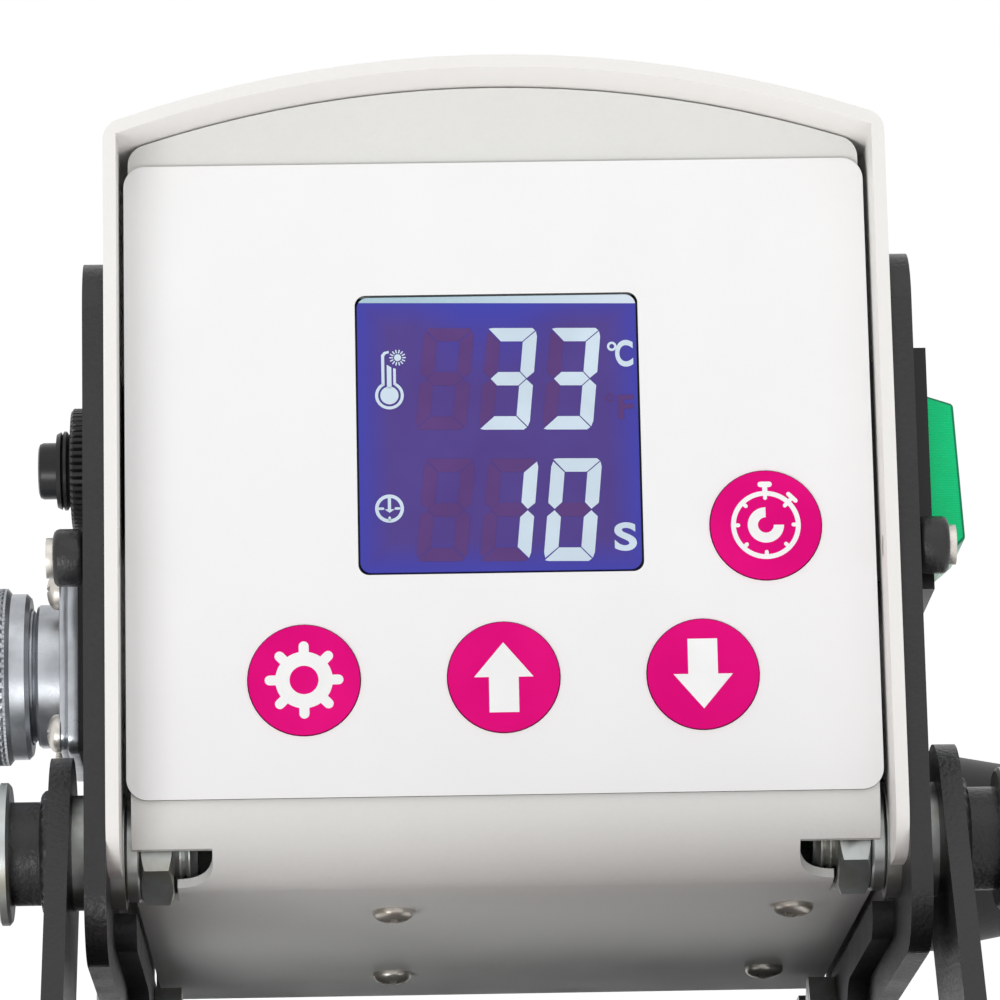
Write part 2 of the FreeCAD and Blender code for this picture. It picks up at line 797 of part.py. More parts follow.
def make_rear_panel():
    body = new_body("rear_panel_body")
    half = hood_inner - fit_gap
    radius = arch_radius - hood_gauge - fit_gap
    shoulder = arch(half, radius)
    outline = [
        (-half, 0),
        (-half, shoulder, radius, (0, hood_crown)),
        (half, shoulder),
        (half, 0),
    ]
    drawing = sketch(body, "rear_face", "XZ_Plane", [outline], offset=-head_depth)
    pad(body, "rear_pad", drawing, panel_gauge)
    lips = [
        rectangle(way * half - (panel_gauge if way > 0 else 0), way * half + (0 if way > 0 else panel_gauge),
                  key_row, hood_shoulder - hood_gauge - 2)
        for way in (-1, 1)
    ]
    folded = sketch(body, "rear_lips", "XZ_Plane", lips, offset=-(head_depth - rear_lip))
    pad(body, "rear_lip_pad", folded, rear_lip - panel_gauge, reverse=True)
    drilled = [(head_depth - rear_lip / 2, up, small_screw_radius) for up in (rear_screw_low, rear_screw_high)]
    holes = sketch(body, "rear_lip_holes", "YZ_Plane", [], drilled, offset=-hood_half)
    pocket(body, "rear_lip_cut", holes, hood_width, reverse=True)
    slot = sketch(body, "vent_slot", "XZ_Plane",
                  [rectangle(-vent_width / 2, vent_width / 2, vent_foot, vent_foot + vent_height)],
                  offset=-(head_depth - 2 * panel_gauge))
    first = pocket(body, "vent_cut", slot, 3 * panel_gauge)
    pattern = body.newObject("PartDesign::LinearPattern", "vent_rows")
    pattern.Originals = [first]
    pattern.Direction = (slot, ["V_Axis"])
    pattern.Occurrences = vent_count
    tie(pattern, "Length", vent_pitch * (vent_count - 1))
    body.Tip = pattern
    node(body, "rear_panel", HEAD)


def make_overlay():
    body = new_body("overlay_body")
    half = overlay_width / 2
    top = overlay_foot + overlay_height
    outline = rectangle(-half, half, overlay_foot, top)
    holes = [(across, up, key_radius + fit_gap / 2) for across, up in key_spots.values()]
    drawing = sketch(body, "overlay_face", "XZ_Plane", [outline, window_outline(fit_gap)], holes)
    pad(body, "overlay_pad", drawing, overlay_gauge)
    corners = [(way * half, up) for way in (-1, 1) for up in (overlay_foot, top)]
    round_edges(body, "overlay_corners", overlay_round, "Y", corners)
    half = window_width / 2 + fit_gap
    corners = [(way * half, window_middle + up * (window_height / 2 + fit_gap)) for way in (-1, 1) for up in (-1, 1)]
    round_edges(body, "overlay_window_corners", window_round, "Y", corners)
    node(body, "panel_overlay", HEAD)


def make_window():
    body = new_body("window_body")
    drawing = sketch(body, "window_face", "XZ_Plane", [window_outline(0)], offset=overlay_gauge)
    pad(body, "window_pad", drawing, overlay_gauge + panel_gauge, reverse=True)
    half = window_width / 2
    corners = [(way * half, window_middle + up * window_height / 2) for way in (-1, 1) for up in (-1, 1)]
    round_edges(body, "window_corners", window_round, "Y", corners)
    node(body, "display_window", HEAD)


board_face = panel_gauge + display_depth


def make_keys():
    stem_end = board_face - switch_depth - key_travel
    skin = overlay_gauge + fit_gap
    for label, (across, up) in key_spots.items():
        profile = [
            (-skin, 0),
            (-skin, key_radius),
            (panel_gauge / 2, key_radius),
            (panel_gauge / 2, key_stem_radius),
            (stem_end, key_stem_radius),
            (stem_end, 0),
        ]
        node(turned(label + "_body", profile, "Y"), label, HEAD, (across, 0, up))


def make_display():
    half = display_side / 2
    screen = block("display_block", (-half, panel_gauge, window_middle - half),
                   (display_side, display_depth, display_side))
    node(group("display_group", [screen]), "display_module", HEAD)
    base = block("display_board_blank", (-board_half_width, board_face, board_foot),
                 (2 * board_half_width, board_gauge, board_height))
    notch_height = board_height + board_foot - board_notch_foot
    notch = block("display_board_notch", (-board_half_width, board_face, board_notch_foot),
                  (board_half_width - board_notch_inner, board_gauge, notch_height))
    low = board_foot + board_hole_inset
    high = board_foot + board_height - board_hole_inset
    edge = board_half_width - board_hole_inset
    spots = [(-edge, low), (edge, low), (edge, high), (board_hole_inset - board_notch_inner, high)]
    holes = [rod(f"display_board_hole_{count}", small_screw_radius, board_gauge, (across, board_face, up), "Y")
             for count, (across, up) in enumerate(spots)]
    node(cut("display_board_cut", base, [notch, *holes]), "display_board", HEAD)
    posts = [rod(f"display_standoff_{count}", standoff_radius, display_depth, (across, panel_gauge, up), "Y")
             for count, (across, up) in enumerate(spots)]
    side = switch_side / 2
    pushes = [block(f"push_switch_{count}", (across - side, board_face - switch_depth, up - side),
                    (switch_side, switch_depth, switch_side))
              for count, (across, up) in enumerate(key_spots.values())]
    node(group("push_switch_group", pushes), "key_switches", HEAD)
    return posts


power_face = panel_gauge + power_standoff
power_top = power_face + board_gauge


def make_power(display_posts):
    spots = [(power_middle + way * power_hole_across, place)
             for way in (-1, 1) for place in (power_hole_front, power_hole_rear)]
    half = power_hole_across + power_board_edge
    base = block("power_board_blank", (power_middle - half, power_hole_front - power_board_edge, power_face),
                 (2 * half, power_hole_rear - power_hole_front + 2 * power_board_edge, board_gauge))
    holes = [rod(f"power_board_hole_{count}", small_screw_radius, board_gauge, (across, place, power_face), "Z")
             for count, (across, place) in enumerate(spots)]
    relay = block("relay_case", (power_middle - relay_place, relay_start, power_top),
                  (relay_width, relay_length, relay_height))
    node(cut("power_board_cut", joined("power_board_fuse", [base, relay]), holes), "power_board", HEAD)
    posts = list(display_posts)
    heads = []
    for count, (across, place) in enumerate(spots):
        outer = rod(f"power_post_{count}", standoff_radius, power_standoff, (across, place, panel_gauge), "Z")
        bore = rod(f"power_post_bore_{count}", small_screw_radius + running_gap, power_standoff,
                   (across, place, panel_gauge), "Z")
        posts.append(cut(f"power_post_cut_{count}", outer, [bore]))
        head = rod(f"underside_head_{count}", small_head_radius, small_head_height,
                   (across, place, -small_head_height), "Z")
        shank = rod(f"underside_shank_{count}", small_screw_radius, small_screw_length, (across, place, 0), "Z")
        heads.append(joined(f"underside_screw_{count}", [head, shank]))
    node(group("standoff_group", posts), "board_standoffs", HEAD)
    node(group("underside_screw_group", heads), "underside_screws", HEAD)
    left = power_middle - core_place
    core = block("transformer_core", (left, core_start, power_top), (core_width, core_length, core_height))
    coil = block("transformer_coil", (left + coil_inset, core_start - coil_overhang, power_top + coil_overhang),
                 (core_width - 2 * coil_inset, core_length + 2 * coil_overhang, core_height - 2 * coil_overhang))
    node(joined("transformer_fuse", [core, coil]), "transformer", HEAD)
    left = power_middle - strip_place
    strip = block("terminal_strip", (left, strip_start, power_top), (strip_width, strip_length, strip_height))
    wells = [rod(f"terminal_well_{count}", well_radius, well_depth,
                 (left + (strip_width - 4 * well_pitch) / 2 + count * well_pitch, strip_start + strip_length / 2,
                  power_top + strip_height - well_depth), "Z")
             for count in range(5)]
    node(cut("terminal_cut", strip, wells), "terminal_block", HEAD)


# Side plates
def plate_outline():
    return [
        (-plate_lead, -plate_drop),
        (-plate_lead, plate_height),
        (plate_flat, plate_height),
        (plate_rear, plate_rear_height),
        (plate_rear, -plate_drop),
    ]


def make_side_plates():
    shared = [
        (pivot_depth, pivot_height, pivot_radius + running_gap),
        (boss_depth, boss_height, small_screw_radius),
        *[(place, up, frame_bolt_radius + running_gap) for place, up in frame_bolt_spots],
    ]
    own = {
        -1: ([connector_hole, breaker_hole, *flange_holes], []),
        1: ([gland_hole], [switch_hole]),
    }
    for side, label in ((-1, "left_side_plate"), (1, "right_side_plate")):
        holes, slots = own[side]
        body = plate(label + "_body", plate_outline(), outward(side, hood_half, plate_gauge), plate_gauge,
                     [*shared, *holes], slots)
        toe, brow, *others = plate_outline()
        round_edges(body, label + "_rounds", plate_round, "X", [toe, *others])
        round_edges(body, label + "_brow", plate_brow_round, "X", [brow])
        node(body, label, HEAD)


def make_side_bosses():
    def boss(side):
        start = outward(side, plate_outer, boss_length)
        outer = rod(f"boss_{side}", boss_radius, boss_length, (start, boss_depth, boss_height))
        bore = rod(f"boss_bore_{side}", small_screw_radius + running_gap, boss_length,
                   (start, boss_depth, boss_height))
        return cut(f"boss_cut_{side}", outer, [bore])

    def screw(side):
        length = boss_length + plate_gauge + hood_gauge
        shank = rod(f"boss_shank_{side}", small_screw_radius, length,
                    (outward(side, hood_inner, length), boss_depth, boss_height))
        tip = plate_outer + boss_length
        head = rod(f"boss_head_{side}", boss_screw_radius, boss_screw_rise,
                   (outward(side, tip, boss_screw_rise), boss_depth, boss_height))
        return joined(f"boss_screw_{side}", [shank, head])

    node(group("boss_group", both_sides(boss)), "side_bosses", HEAD)
    node(group("boss_screw_group", both_sides(screw)), "side_boss_screws", HEAD)

    def rear_screw(side):
        parts = []
        for count, up in enumerate((rear_screw_low, rear_screw_high)):
            place = head_depth - rear_lip / 2
            length = hood_gauge + fit_gap + panel_gauge
            shank = rod(f"rear_shank_{side}_{count}", small_screw_radius, length,
                        (outward(side, hood_half - length, length), place, up))
            head = rod(f"rear_head_{side}_{count}", small_head_radius, small_head_height / 2,
                       (outward(side, hood_half, small_head_height / 2), place, up))
            parts.append(joined(f"rear_screw_{side}_{count}", [shank, head]))
        return parts

    left, right = both_sides(rear_screw)
    node(group("rear_screw_group", [*left, *right]), "rear_panel_screws", HEAD)


# Left side fittings. They are turned about X, and their profiles run outwards along -X.
def leftward(profile):
    return [(-corner[0], *corner[1:]) for corner in profile]


def make_breaker():
    at = (0, breaker_depth, breaker_height)
    tip = plate_outer + breaker_neck_length
    bore = breaker_button_radius + 2 * running_gap
    seat = hood_inner - 2
    neck = rod("breaker_neck", breaker_neck_radius, tip - hood_inner, (-tip, 0, 0))
    case = block("breaker_case", (-hood_inner, -breaker_body_wide / 2, -breaker_body_tall / 2),
                 (breaker_body_length, breaker_body_wide, breaker_body_tall))
    well = rod("breaker_well", bore, tip - seat, (-tip, 0, 0))
    node(cut("breaker_cut", joined("breaker_fuse", [neck, case]), [well]), "breaker_body", HEAD, at)
    nut = ring_profile(plate_outer, breaker_nut_length, breaker_neck_radius, breaker_nut_radius)
    node(turned("breaker_nut_body", leftward(nut)), "breaker_nut", HEAD, at)
    rise = tip + breaker_button_rise
    crown = breaker_button_radius - 0.8
    button = [
        (seat + 0.3, 0),
        (seat + 0.3, breaker_button_radius),
        (rise - 0.8, breaker_button_radius),
        (rise, crown),
        (rise, 0),
    ]
    node(turned("breaker_button_body", leftward(button)), "breaker_button", HEAD, at)


def make_connector():
    at = (0, connector_depth, connector_height)
    side = flange_side / 2
    face = plate_outer + gasket_gauge
    front = face + flange_gauge
    tail = hood_inner - connector_tail_length
    seal = block("gasket_blank", (-face, -side, -side), (gasket_gauge, flange_side, flange_side))
    hole = rod("gasket_hole", connector_tail_radius, gasket_gauge, (-face, 0, 0))
    spots = [(across * flange_hole_pitch / 2, up * flange_hole_pitch / 2) for across in (-1, 1) for up in (-1, 1)]
    bores = [rod(f"gasket_bore_{count}", small_screw_radius, gasket_gauge, (-face, across, up))
             for count, (across, up) in enumerate(spots)]
    node(cut("gasket_cut", seal, [hole, *bores]), "connector_gasket", HEAD, at)
    flange = block("flange_blank", (-front, -side, -side), (flange_gauge, flange_side, flange_side))
    barrel = rod("socket_barrel", barrel_radius, barrel_length, (-(front + barrel_length), 0, 0))
    mouth_end = front + barrel_length + mouth_length
    mouth = rod("socket_mouth", mouth_radius, mouth_length, (-mouth_end, 0, 0))
    stem = rod("socket_tail", connector_tail_radius, face - tail, (-face, 0, 0))
    bores = [rod(f"flange_bore_{count}", small_screw_radius, flange_gauge, (-front, across, up))
             for count, (across, up) in enumerate(spots)]
    node(cut("socket_cut", joined("socket_fuse", [flange, barrel, mouth, stem]), bores),
         "connector_socket", HEAD, at)
    length = flange_gauge + gasket_gauge + plate_gauge + hood_gauge
    screws = []
    for count, (across, up) in enumerate(spots):
        shank = rod(f"flange_shank_{count}", small_screw_radius, length, (-front, across, up))
        head = rod(f"flange_head_{count}", small_head_radius, small_head_height,
                   (-(front + small_head_height), across, up))
        screws.append(joined(f"flange_screw_{count}", [shank, head]))
    node(group("flange_screw_group", screws), "connector_screws", HEAD, at)
    start = front + ring_start
    end = start + ring_length
    bore = mouth_radius + 4 * running_gap
    neck_bore = plug_neck_radius + 4 * running_gap
    ring = [
        (start, bore),
        (start, ring_shoulder_radius),
        (start + ring_shoulder_length, ring_shoulder_radius),
        (start + ring_shoulder_length, ring_radius),
        (end, ring_radius),
        (end, neck_bore),
        (end - ring_lip, neck_bore),
        (end - ring_lip, bore),
    ]
    node(turned("coupling_ring_body", leftward(ring)), "coupling_ring", HEAD, at)
    shell_start = end + 2
    shell_end = shell_start + plug_shell_length
    clamp_end = shell_end + plug_clamp_length
    plug = [
        (mouth_end, 0),
        (mouth_end, mouth_radius),
        (end - ring_lip - fit_gap, mouth_radius),
        (end - ring_lip - fit_gap, plug_neck_radius),
        (shell_start, plug_neck_radius),
        (shell_start, plug_shell_radius),
        (shell_end - 2, plug_shell_radius),
        (shell_end, plug_clamp_radius),
        (clamp_end, plug_clamp_radius),
        (clamp_end, plug_bore_radius),
        (clamp_end - plug_bore_length, plug_bore_radius),
        (clamp_end - plug_bore_length, 0),
    ]
    node(turned("plug_body", leftward(plug)), "connector_plug", HEAD, at)


# Right side fittings
def make_switch():
    at = (0, rocker_depth, rocker_height)
    wide = switch_half_wide + switch_frame_wall
    tall = switch_half_long + switch_frame_wall
    brim = 1.6
    back = hood_inner - switch_body_length
    face = plate_outer + switch_frame_rise
    case = block("switch_case", (back, -wide, -tall), (plate_outer - back, 2 * wide, 2 * tall))
    frame = block("switch_brim", (plate_outer, -(wide + brim), -(tall + brim)),
                  (switch_frame_rise, 2 * (wide + brim), 2 * (tall + brim)))
    floor = plate_outer - rocker_floor
    room = block("switch_room", (floor, -switch_half_wide, -switch_half_long),
                 (face - floor, 2 * switch_half_wide, 2 * switch_half_long))
    pivot_x = plate_outer - rocker_pivot
    pin_half = switch_half_wide + switch_frame_wall / 2
    sockets = rod("switch_sockets", rocker_pin_radius + running_gap, 2 * pin_half, (pivot_x, -pin_half, 0), "Y")
    node(cut("switch_cut", joined("switch_fuse", [case, frame]), [room, sockets]), "switch_frame", HEAD, at)
    body = new_body("rocker_body")
    profile = [
        (pivot_x - 2.5, -rocker_half_long + 0.8),
        (pivot_x + 4, -rocker_half_long),
        (pivot_x + rocker_rise_low + 1.5, -rocker_half_long / 2),
        (pivot_x + rocker_rise_high + 1.5, rocker_half_long - 1.8),
        (pivot_x + 3.4, rocker_half_long),
        (pivot_x - 2.5, rocker_half_long - 0.8),
    ]
    drawing = sketch(body, "rocker_profile", "XZ_Plane", [profile])
    pad(body, "rocker_pad", drawing, 2 * rocker_half_wide, middle=True)
    trunnion = sketch(body, "rocker_pin_circle", "XZ_Plane", [], [(pivot_x, 0, rocker_pin_radius)])
    pad(body, "rocker_pins", trunnion, 2 * (pin_half - fit_gap), middle=True)
    node(body, "power_rocker", HEAD, at)


def make_gland():
    at = (0, gland_depth, gland_height)
    inside = hood_inner - gland_tail
    collar = plate_outer + gland_collar
    taper = collar + gland_taper_length
    nose = taper + gland_nose_length
    profile = [
        (inside, gland_bore_radius),
        (inside, gland_thread_radius),
        (plate_outer, gland_thread_radius),
        (plate_outer, gland_radius),
        (collar, gland_radius),
        (taper, gland_taper_radius),
        (nose, gland_nose_radius),
        (nose, gland_bore_radius),
    ]
    node(turned("gland_body", profile), "mains_gland", HEAD, at)


# Lever pivots: the pieces of both sides lie on one axis
def make_pivots():
    at = (0, pivot_depth, pivot_height)
    flat = hood_half - flat_washer_length
    spring = flat - spring_washer_length
    nut = spring - pivot_nut_length
    tip = nut - pivot_tail
    boss_end = lever_outer + lever_boss_length
    head = boss_end + outer_washer_length

    def washer(name, side, start, length, radius):
        place = outward(side, start, length)
        outer = rod(f"{name}_{side}", radius, length, (place, 0, 0))
        bore = rod(f"{name}_bore_{side}", pivot_radius + running_gap, length, (place, 0, 0))
        return cut(f"{name}_cut_{side}", outer, [bore])

    def bolt(side):
        shank = rod(f"pivot_shank_{side}", pivot_radius, head - tip, (outward(side, tip, head - tip), 0, 0))
        crown = hexagon(f"pivot_head_{side}", pivot_nut_across, pivot_head_length,
                        (outward(side, head, pivot_head_length), 0, 0))
        return joined(f"pivot_bolt_{side}", [shank, crown])

    def thin_nut(side):
        place = outward(side, nut, pivot_nut_length)
        outer = hexagon(f"pivot_nut_{side}", pivot_nut_across, pivot_nut_length, (place, 0, 0))
        bore = rod(f"pivot_nut_bore_{side}", pivot_radius + running_gap, pivot_nut_length, (place, 0, 0))
        return cut(f"pivot_nut_cut_{side}", outer, [bore])

    node(group("pivot_bolt_group", both_sides(bolt)), "pivot_bolts", HEAD, at)
    node(group("pivot_nut_group", both_sides(thin_nut)), "pivot_nuts", HEAD, at)
    rows = (
        ("pivot_spring_washers", spring, spring_washer_length, spring_washer_radius),
        ("pivot_flat_washers", flat, flat_washer_length, flat_washer_radius),
        ("pivot_spacers", plate_outer, spacer_length, flat_washer_radius),
        ("pivot_outer_washers", boss_end, outer_washer_length, outer_washer_radius),
    )
    for label, start, length, radius in rows:
        pair = both_sides(lambda side: washer(label, side, start, length, radius))
        node(group(label + "_group", pair), label, HEAD, at)


# Lever: two plates with welded bosses, a bar and a soft grip
def make_lever():
    half = lever_half_wide
    outline = [
        (0, half, half, (half, half)),
        (half, 0, half, (half, -half)),
        (0, -half),
        (-lever_length, -half, half, (-lever_length - half, -half)),
        (-lever_length - half, 0, half, (-lever_length - half, half)),
        (-lever_length, half),
    ]
    holes = [
        (-jaw_pin_reach, 0, jaw_pin_radius + running_gap),
        (-lever_length, 0, handle_screw_radius + running_gap),
    ]
    for side, label in ((-1, "left_lever_plate"), (1, "right_lever_plate")):
        start = outward(side, lever_inner, lever_gauge)
        body = plate(label + "_body", outline, start, lever_gauge, holes)
        disc = sketch(body, label + "_boss_disc", "YZ_Plane", [], [(0, 0, lever_boss_radius)],
                      offset=side * lever_outer)
        pad(body, label + "_boss", disc, lever_boss_length, reverse=side < 0)
        doc.recompute()
        joint = body.Tip
        seam = [
            f"Edge{count}" for count, edge in enumerate(joint.Shape.Edges, 1)
            if isinstance(edge.Curve, Part.Circle)
            and abs(edge.Curve.Radius - lever_boss_radius.number) < 1e-4
            and abs(edge.Curve.Center.x - side * lever_outer.number) < 1e-4
        ]
        weld = body.newObject("PartDesign::Fillet", label + "_weld")
        weld.Base = (joint, seam)
        tie(weld, "Radius", lever_weld)
        body.Tip = weld
        bore = sketch(body, label + "_bore", "YZ_Plane", [], [(0, 0, pivot_radius + running_gap)],
                      offset=outward(side, lever_inner, 0))
        pocket(body, label + "_bore_cut", bore, lever_gauge + lever_boss_length, reverse=side > 0)
        node(body, label, LEVER)
    at = (0, -lever_length, 0)
    screw_tip = lever_outer - handle_screw_length
    bar = [
        (-lever_inner, handle_screw_radius),
        (-lever_inner, handle_bar_radius),
        (lever_inner, handle_bar_radius),
        (lever_inner, handle_screw_radius),
    ]
    node(turned("handle_bar_body", bar), "handle_bar", LEVER, at)
    grip_end = lever_inner - grip_end_gap
    grip = [
        (-grip_end, handle_bar_radius),
        (-grip_end, grip_radius - grip_round),
        (-grip_end + grip_round, grip_radius),
        (grip_end - grip_round, grip_radius),
        (grip_end, grip_radius - grip_round),
        (grip_end, handle_bar_radius),
    ]
    node(turned("handle_grip_body", grip), "handle_grip", LEVER, at)

    def handle_screw(side):
        shank = rod(f"handle_shank_{side}", handle_screw_radius, handle_screw_length,
                    (outward(side, screw_tip, handle_screw_length), 0, 0))
        crown = rod(f"handle_head_{side}", handle_head_radius, handle_head_length,
                    (outward(side, lever_outer, handle_head_length), 0, 0))
        return joined(f"handle_screw_{side}", [shank, crown])

    node(group("handle_screw_group", both_sides(handle_screw)), "handle_screws", LEVER, at)
    at = (0, -jaw_pin_reach, 0)
    pin_start = jaw_ear_outer - 8.5

    def jaw_pin(side):
        length = lever_outer - pin_start
        shank = rod(f"jaw_pin_shank_{side}", jaw_pin_radius, length, (outward(side, pin_start, length), 0, 0))
        crown = rod(f"jaw_pin_head_{side}", jaw_pin_head_radius, jaw_pin_head_length,
                    (outward(side, lever_outer, jaw_pin_head_length), 0, 0))
        return joined(f"jaw_pin_{side}", [shank, crown])

    node(group("jaw_pin_group", both_sides(jaw_pin)), "jaw_pins", LEVER, at)


# Mug well: two half-round jaws with silicone heating mats
def sector(name, inner, outer, facing, low, centre_y):
    """Part of a ring about a vertical axis. It faces the rear, +1, or the front, -1."""
    body = new_body(name)
    spread = sine(jaw_half_angle)
    forward = cosine(jaw_half_angle)
    crown = centre_y + facing * outer
    hollow = centre_y + facing * inner
    outer_edge = centre_y + facing * forward * outer
    inner_edge = centre_y + facing * forward * inner
    corners = [
        (spread * -outer, outer_edge, outer, (-outer, crown)),
        (0, crown, outer, (outer, crown)),
        (spread * outer, outer_edge),
        (spread * inner, inner_edge, inner, (inner, hollow)),
        (0, hollow, inner, (-inner, hollow)),
        (spread * -inner, inner_edge),
    ]
    drawing = sketch(body, name + "_arc", "XY_Plane", [corners], offset=low)
    pad(body, name + "_pad", drawing, jaw_height)
    return body


shell_inner = mug_radius + mat_gauge
shell_outer = shell_inner + shell_gauge
jaw_low = -(jaw_drop + jaw_height)
swing = lever_droop + lever_closing
ear_y = -(cosine(swing) * jaw_pin_reach)
ear_z = -(sine(swing) * jaw_pin_reach)


def make_front_jaw():
    shell = sector("front_shell", shell_inner, shell_outer, -1, jaw_low, -mug_forward)
    ears = []
    bosses = []
    holes = []
    for side in (-1, 1):
        start = shell_inner - 2 * mat_gauge
        length = jaw_ear_outer - start
        ears.append(block(f"jaw_ear_{side}", (outward(side, start, length), ear_y - jaw_ear_half, ear_z - jaw_ear_half),
                          (length, 2 * jaw_ear_half, 2 * jaw_ear_half)))
        bossed = lever_inner - jaw_side_gap - start
        bosses.append(rod(f"jaw_boss_{side}", jaw_boss_radius, bossed,
                          (outward(side, start, bossed), ear_y, ear_z)))
        holes.append(rod(f"jaw_ear_hole_{side}", jaw_pin_radius + running_gap, bossed,
                         (outward(side, start, bossed), ear_y, ear_z)))
    room = rod("jaw_ear_room", shell_inner, 4 * jaw_ear_half, (0, -mug_forward, ear_z - 2 * jaw_ear_half), "Z")
    cheeks = cut("jaw_ear_trim", joined("jaw_ear_pair", [*ears, *bosses]), [room])
    node(cut("front_jaw_cut", joined("front_jaw_fuse", [shell, cheeks]), holes), "front_jaw", JAW)
    node(sector("front_mat_body", mug_radius, shell_inner, -1, jaw_low, -mug_forward), "front_heating_mat", JAW)


def make_rear_jaw():
    mug_y = pivot_y - mug_forward
    low = pivot_z + jaw_low
    shell = sector("rear_jaw_body", shell_inner, shell_outer, 1, low, mug_y)
    node(shell, "rear_jaw")
    node(sector("rear_mat_body", mug_radius, shell_inner, 1, low, mug_y), "rear_heating_mat")
    top = pivot_z - jaw_drop - jaw_arm_drop
    brace_y = pivot_y + upright_setback
    half = jaw_arm_half_wide
    outer = block("jaw_arm_blank", (-half, mug_y, top - jaw_arm_height), (2 * half, brace_y - mug_y, jaw_arm_height))
    inner = block("jaw_arm_room", (-(half - jaw_arm_gauge), mug_y, top - jaw_arm_height),
                  (2 * (half - jaw_arm_gauge), brace_y - mug_y, jaw_arm_height - jaw_arm_gauge))
    round_end = rod("jaw_arm_scallop", shell_outer, jaw_arm_height, (0, mug_y, top - jaw_arm_height), "Z")
    node(cut("jaw_arm_cut", outer, [inner, round_end]), "rear_jaw_arm")
    rest_top = low - rest_gap
    rest_low = rest_top - rest_gauge
    rest = [
        (base_top, 0),
        (base_top, post_foot_radius),
        (base_top + post_foot_length, post_foot_radius),
        (base_top + post_foot_length + 3, post_radius),
        (rest_low, post_radius),
        (rest_low, rest_radius),
        (rest_top, rest_radius),
        (rest_top, rest_radius - rest_rim),
        (rest_top - rest_rim, rest_radius - 2 * rest_rim),
        (rest_top - rest_rim, 0),
    ]
    node(turned("mug_rest_body", rest, "Z"), "mug_rest", WORLD, (0, mug_y, 0))


# Frame
def head_point(place, up):
    """A point of the head frame in the row frame, as (y, z)."""
    lean = cosine(head_tilt)
    rise = sine(head_tilt)
    return head_y + place * lean + up * rise, head_z - place * rise + up * lean


upright_front = pivot_y + upright_setback
upright_rear = upright_front + upright_wide


def slope_at(place):
    """Height just under the head's underside at a distance y."""
    start_y, start_z = head_point(as_size(0), -arm_clear)
    return start_z - (place - start_y) * sine(head_tilt) / cosine(head_tilt)


def make_uprights():
    outline = [
        (upright_front, base_top),
        (upright_front, slope_at(upright_front) - arm_height / cosine(head_tilt)),
        head_point(arm_start, -arm_clear - arm_height),
        head_point(arm_start, -arm_clear),
        (upright_rear, slope_at(upright_rear)),
        (upright_rear, base_top),
    ]
    holes = []
    for place, up in frame_bolt_spots:
        spot_y, spot_z = head_point(place, up)
        holes.append((spot_y, spot_z, frame_bolt_radius + running_gap))
    inner = hood_half - upright_gauge
    for side, label in ((-1, "left_upright"), (1, "right_upright")):
        body = plate(label + "_body", outline, outward(side, inner, upright_gauge), upright_gauge, holes)
        round_edges(body, label + "_rounds", upright_round, "X", [outline[1], outline[4]])
        round_edges(body, label + "_arm_round", arm_round, "X", [outline[2]])
        start = outward(side, hood_half - upright_flange, upright_flange)
        drilled = [(across, place, frame_bolt_radius + running_gap)
                   for across, place in base_bolt_spots() if side * across.number > 0]
        flange = sketch(body, label + "_flange", "XY_Plane",
                        [rectangle(start, start + upright_flange, upright_front, upright_rear)], drilled,
                        offset=base_top)
        pad(body, label + "_flange_pad", flange, upright_gauge)
        node(body, label)


def make_braces():
    half = hood_half - upright_gauge
    foot = base_top + upright_gauge
    rows = (
        ("front_brace", upright_front, 1, pivot_z - front_brace_drop),
        ("rear_brace", upright_rear, -1, pivot_z - rear_brace_drop),
    )
    for label, face, way, top in rows:
        body = new_body(label + "_body")
        profile = [
            (-half, face),
            (half, face),
            (half, face + way * brace_lip),
            (half - brace_gauge, face + way * brace_lip),
            (half - brace_gauge, face + way * brace_gauge),
            (-(half - brace_gauge), face + way * brace_gauge),
            (-(half - brace_gauge), face + way * brace_lip),
            (-half, face + way * brace_lip),
        ]
        drawing = sketch(body, label + "_profile", "XY_Plane", [profile], offset=foot)
        pad(body, label + "_pad", drawing, top - foot)
        node(body, label)


def base_bolt_spots():
    """Where the uprights' flanges are bolted to the base, as (x, y)."""
    inset = brace_lip * 1.6
    return [(side * (hood_half - upright_flange / 2), place)
            for side in (-1, 1) for place in (upright_front + inset, upright_rear - inset)]


def make_frame_bolts():
    bolts = []
    nuts = []
    inner = hood_half - upright_gauge - frame_nut_length
    length = plate_outer - inner
    for side in (-1, 1):
        for count, spot in enumerate(frame_bolt_spots):
            place, up = head_point(*spot)
            shank = rod(f"frame_shank_{side}_{count}", frame_bolt_radius, length,
                        (outward(side, inner, length), place, up))
            crown = rod(f"frame_head_{side}_{count}", frame_bolt_head_radius, frame_bolt_head_length,
                        (outward(side, plate_outer, frame_bolt_head_length), place, up))
            bolts.append(joined(f"frame_bolt_{side}_{count}", [shank, crown]))
            start = outward(side, inner, frame_nut_length)
            nut = hexagon(f"frame_nut_{side}_{count}", frame_nut_across, frame_nut_length, (start, place, up))
            bore = rod(f"frame_nut_bore_{side}_{count}", frame_bolt_radius + running_gap, frame_nut_length,
                       (start, place, up))
            nuts.append(cut(f"frame_nut_cut_{side}_{count}", nut, [bore]))
    top = base_top + upright_gauge
    length = upright_gauge + base_gauge
    for count, (across, place) in enumerate(base_bolt_spots()):
        shank = rod(f"base_shank_{count}", frame_bolt_radius, length, (across, place, top - length), "Z")
        crown = rod(f"base_head_{count}", frame_bolt_head_radius, frame_bolt_head_length, (across, place, top), "Z")
        bolts.append(joined(f"base_bolt_{count}", [shank, crown]))
    node(group("frame_bolt_group", bolts), "frame_bolts")
    node(group("frame_nut_group", nuts), "frame_nuts")


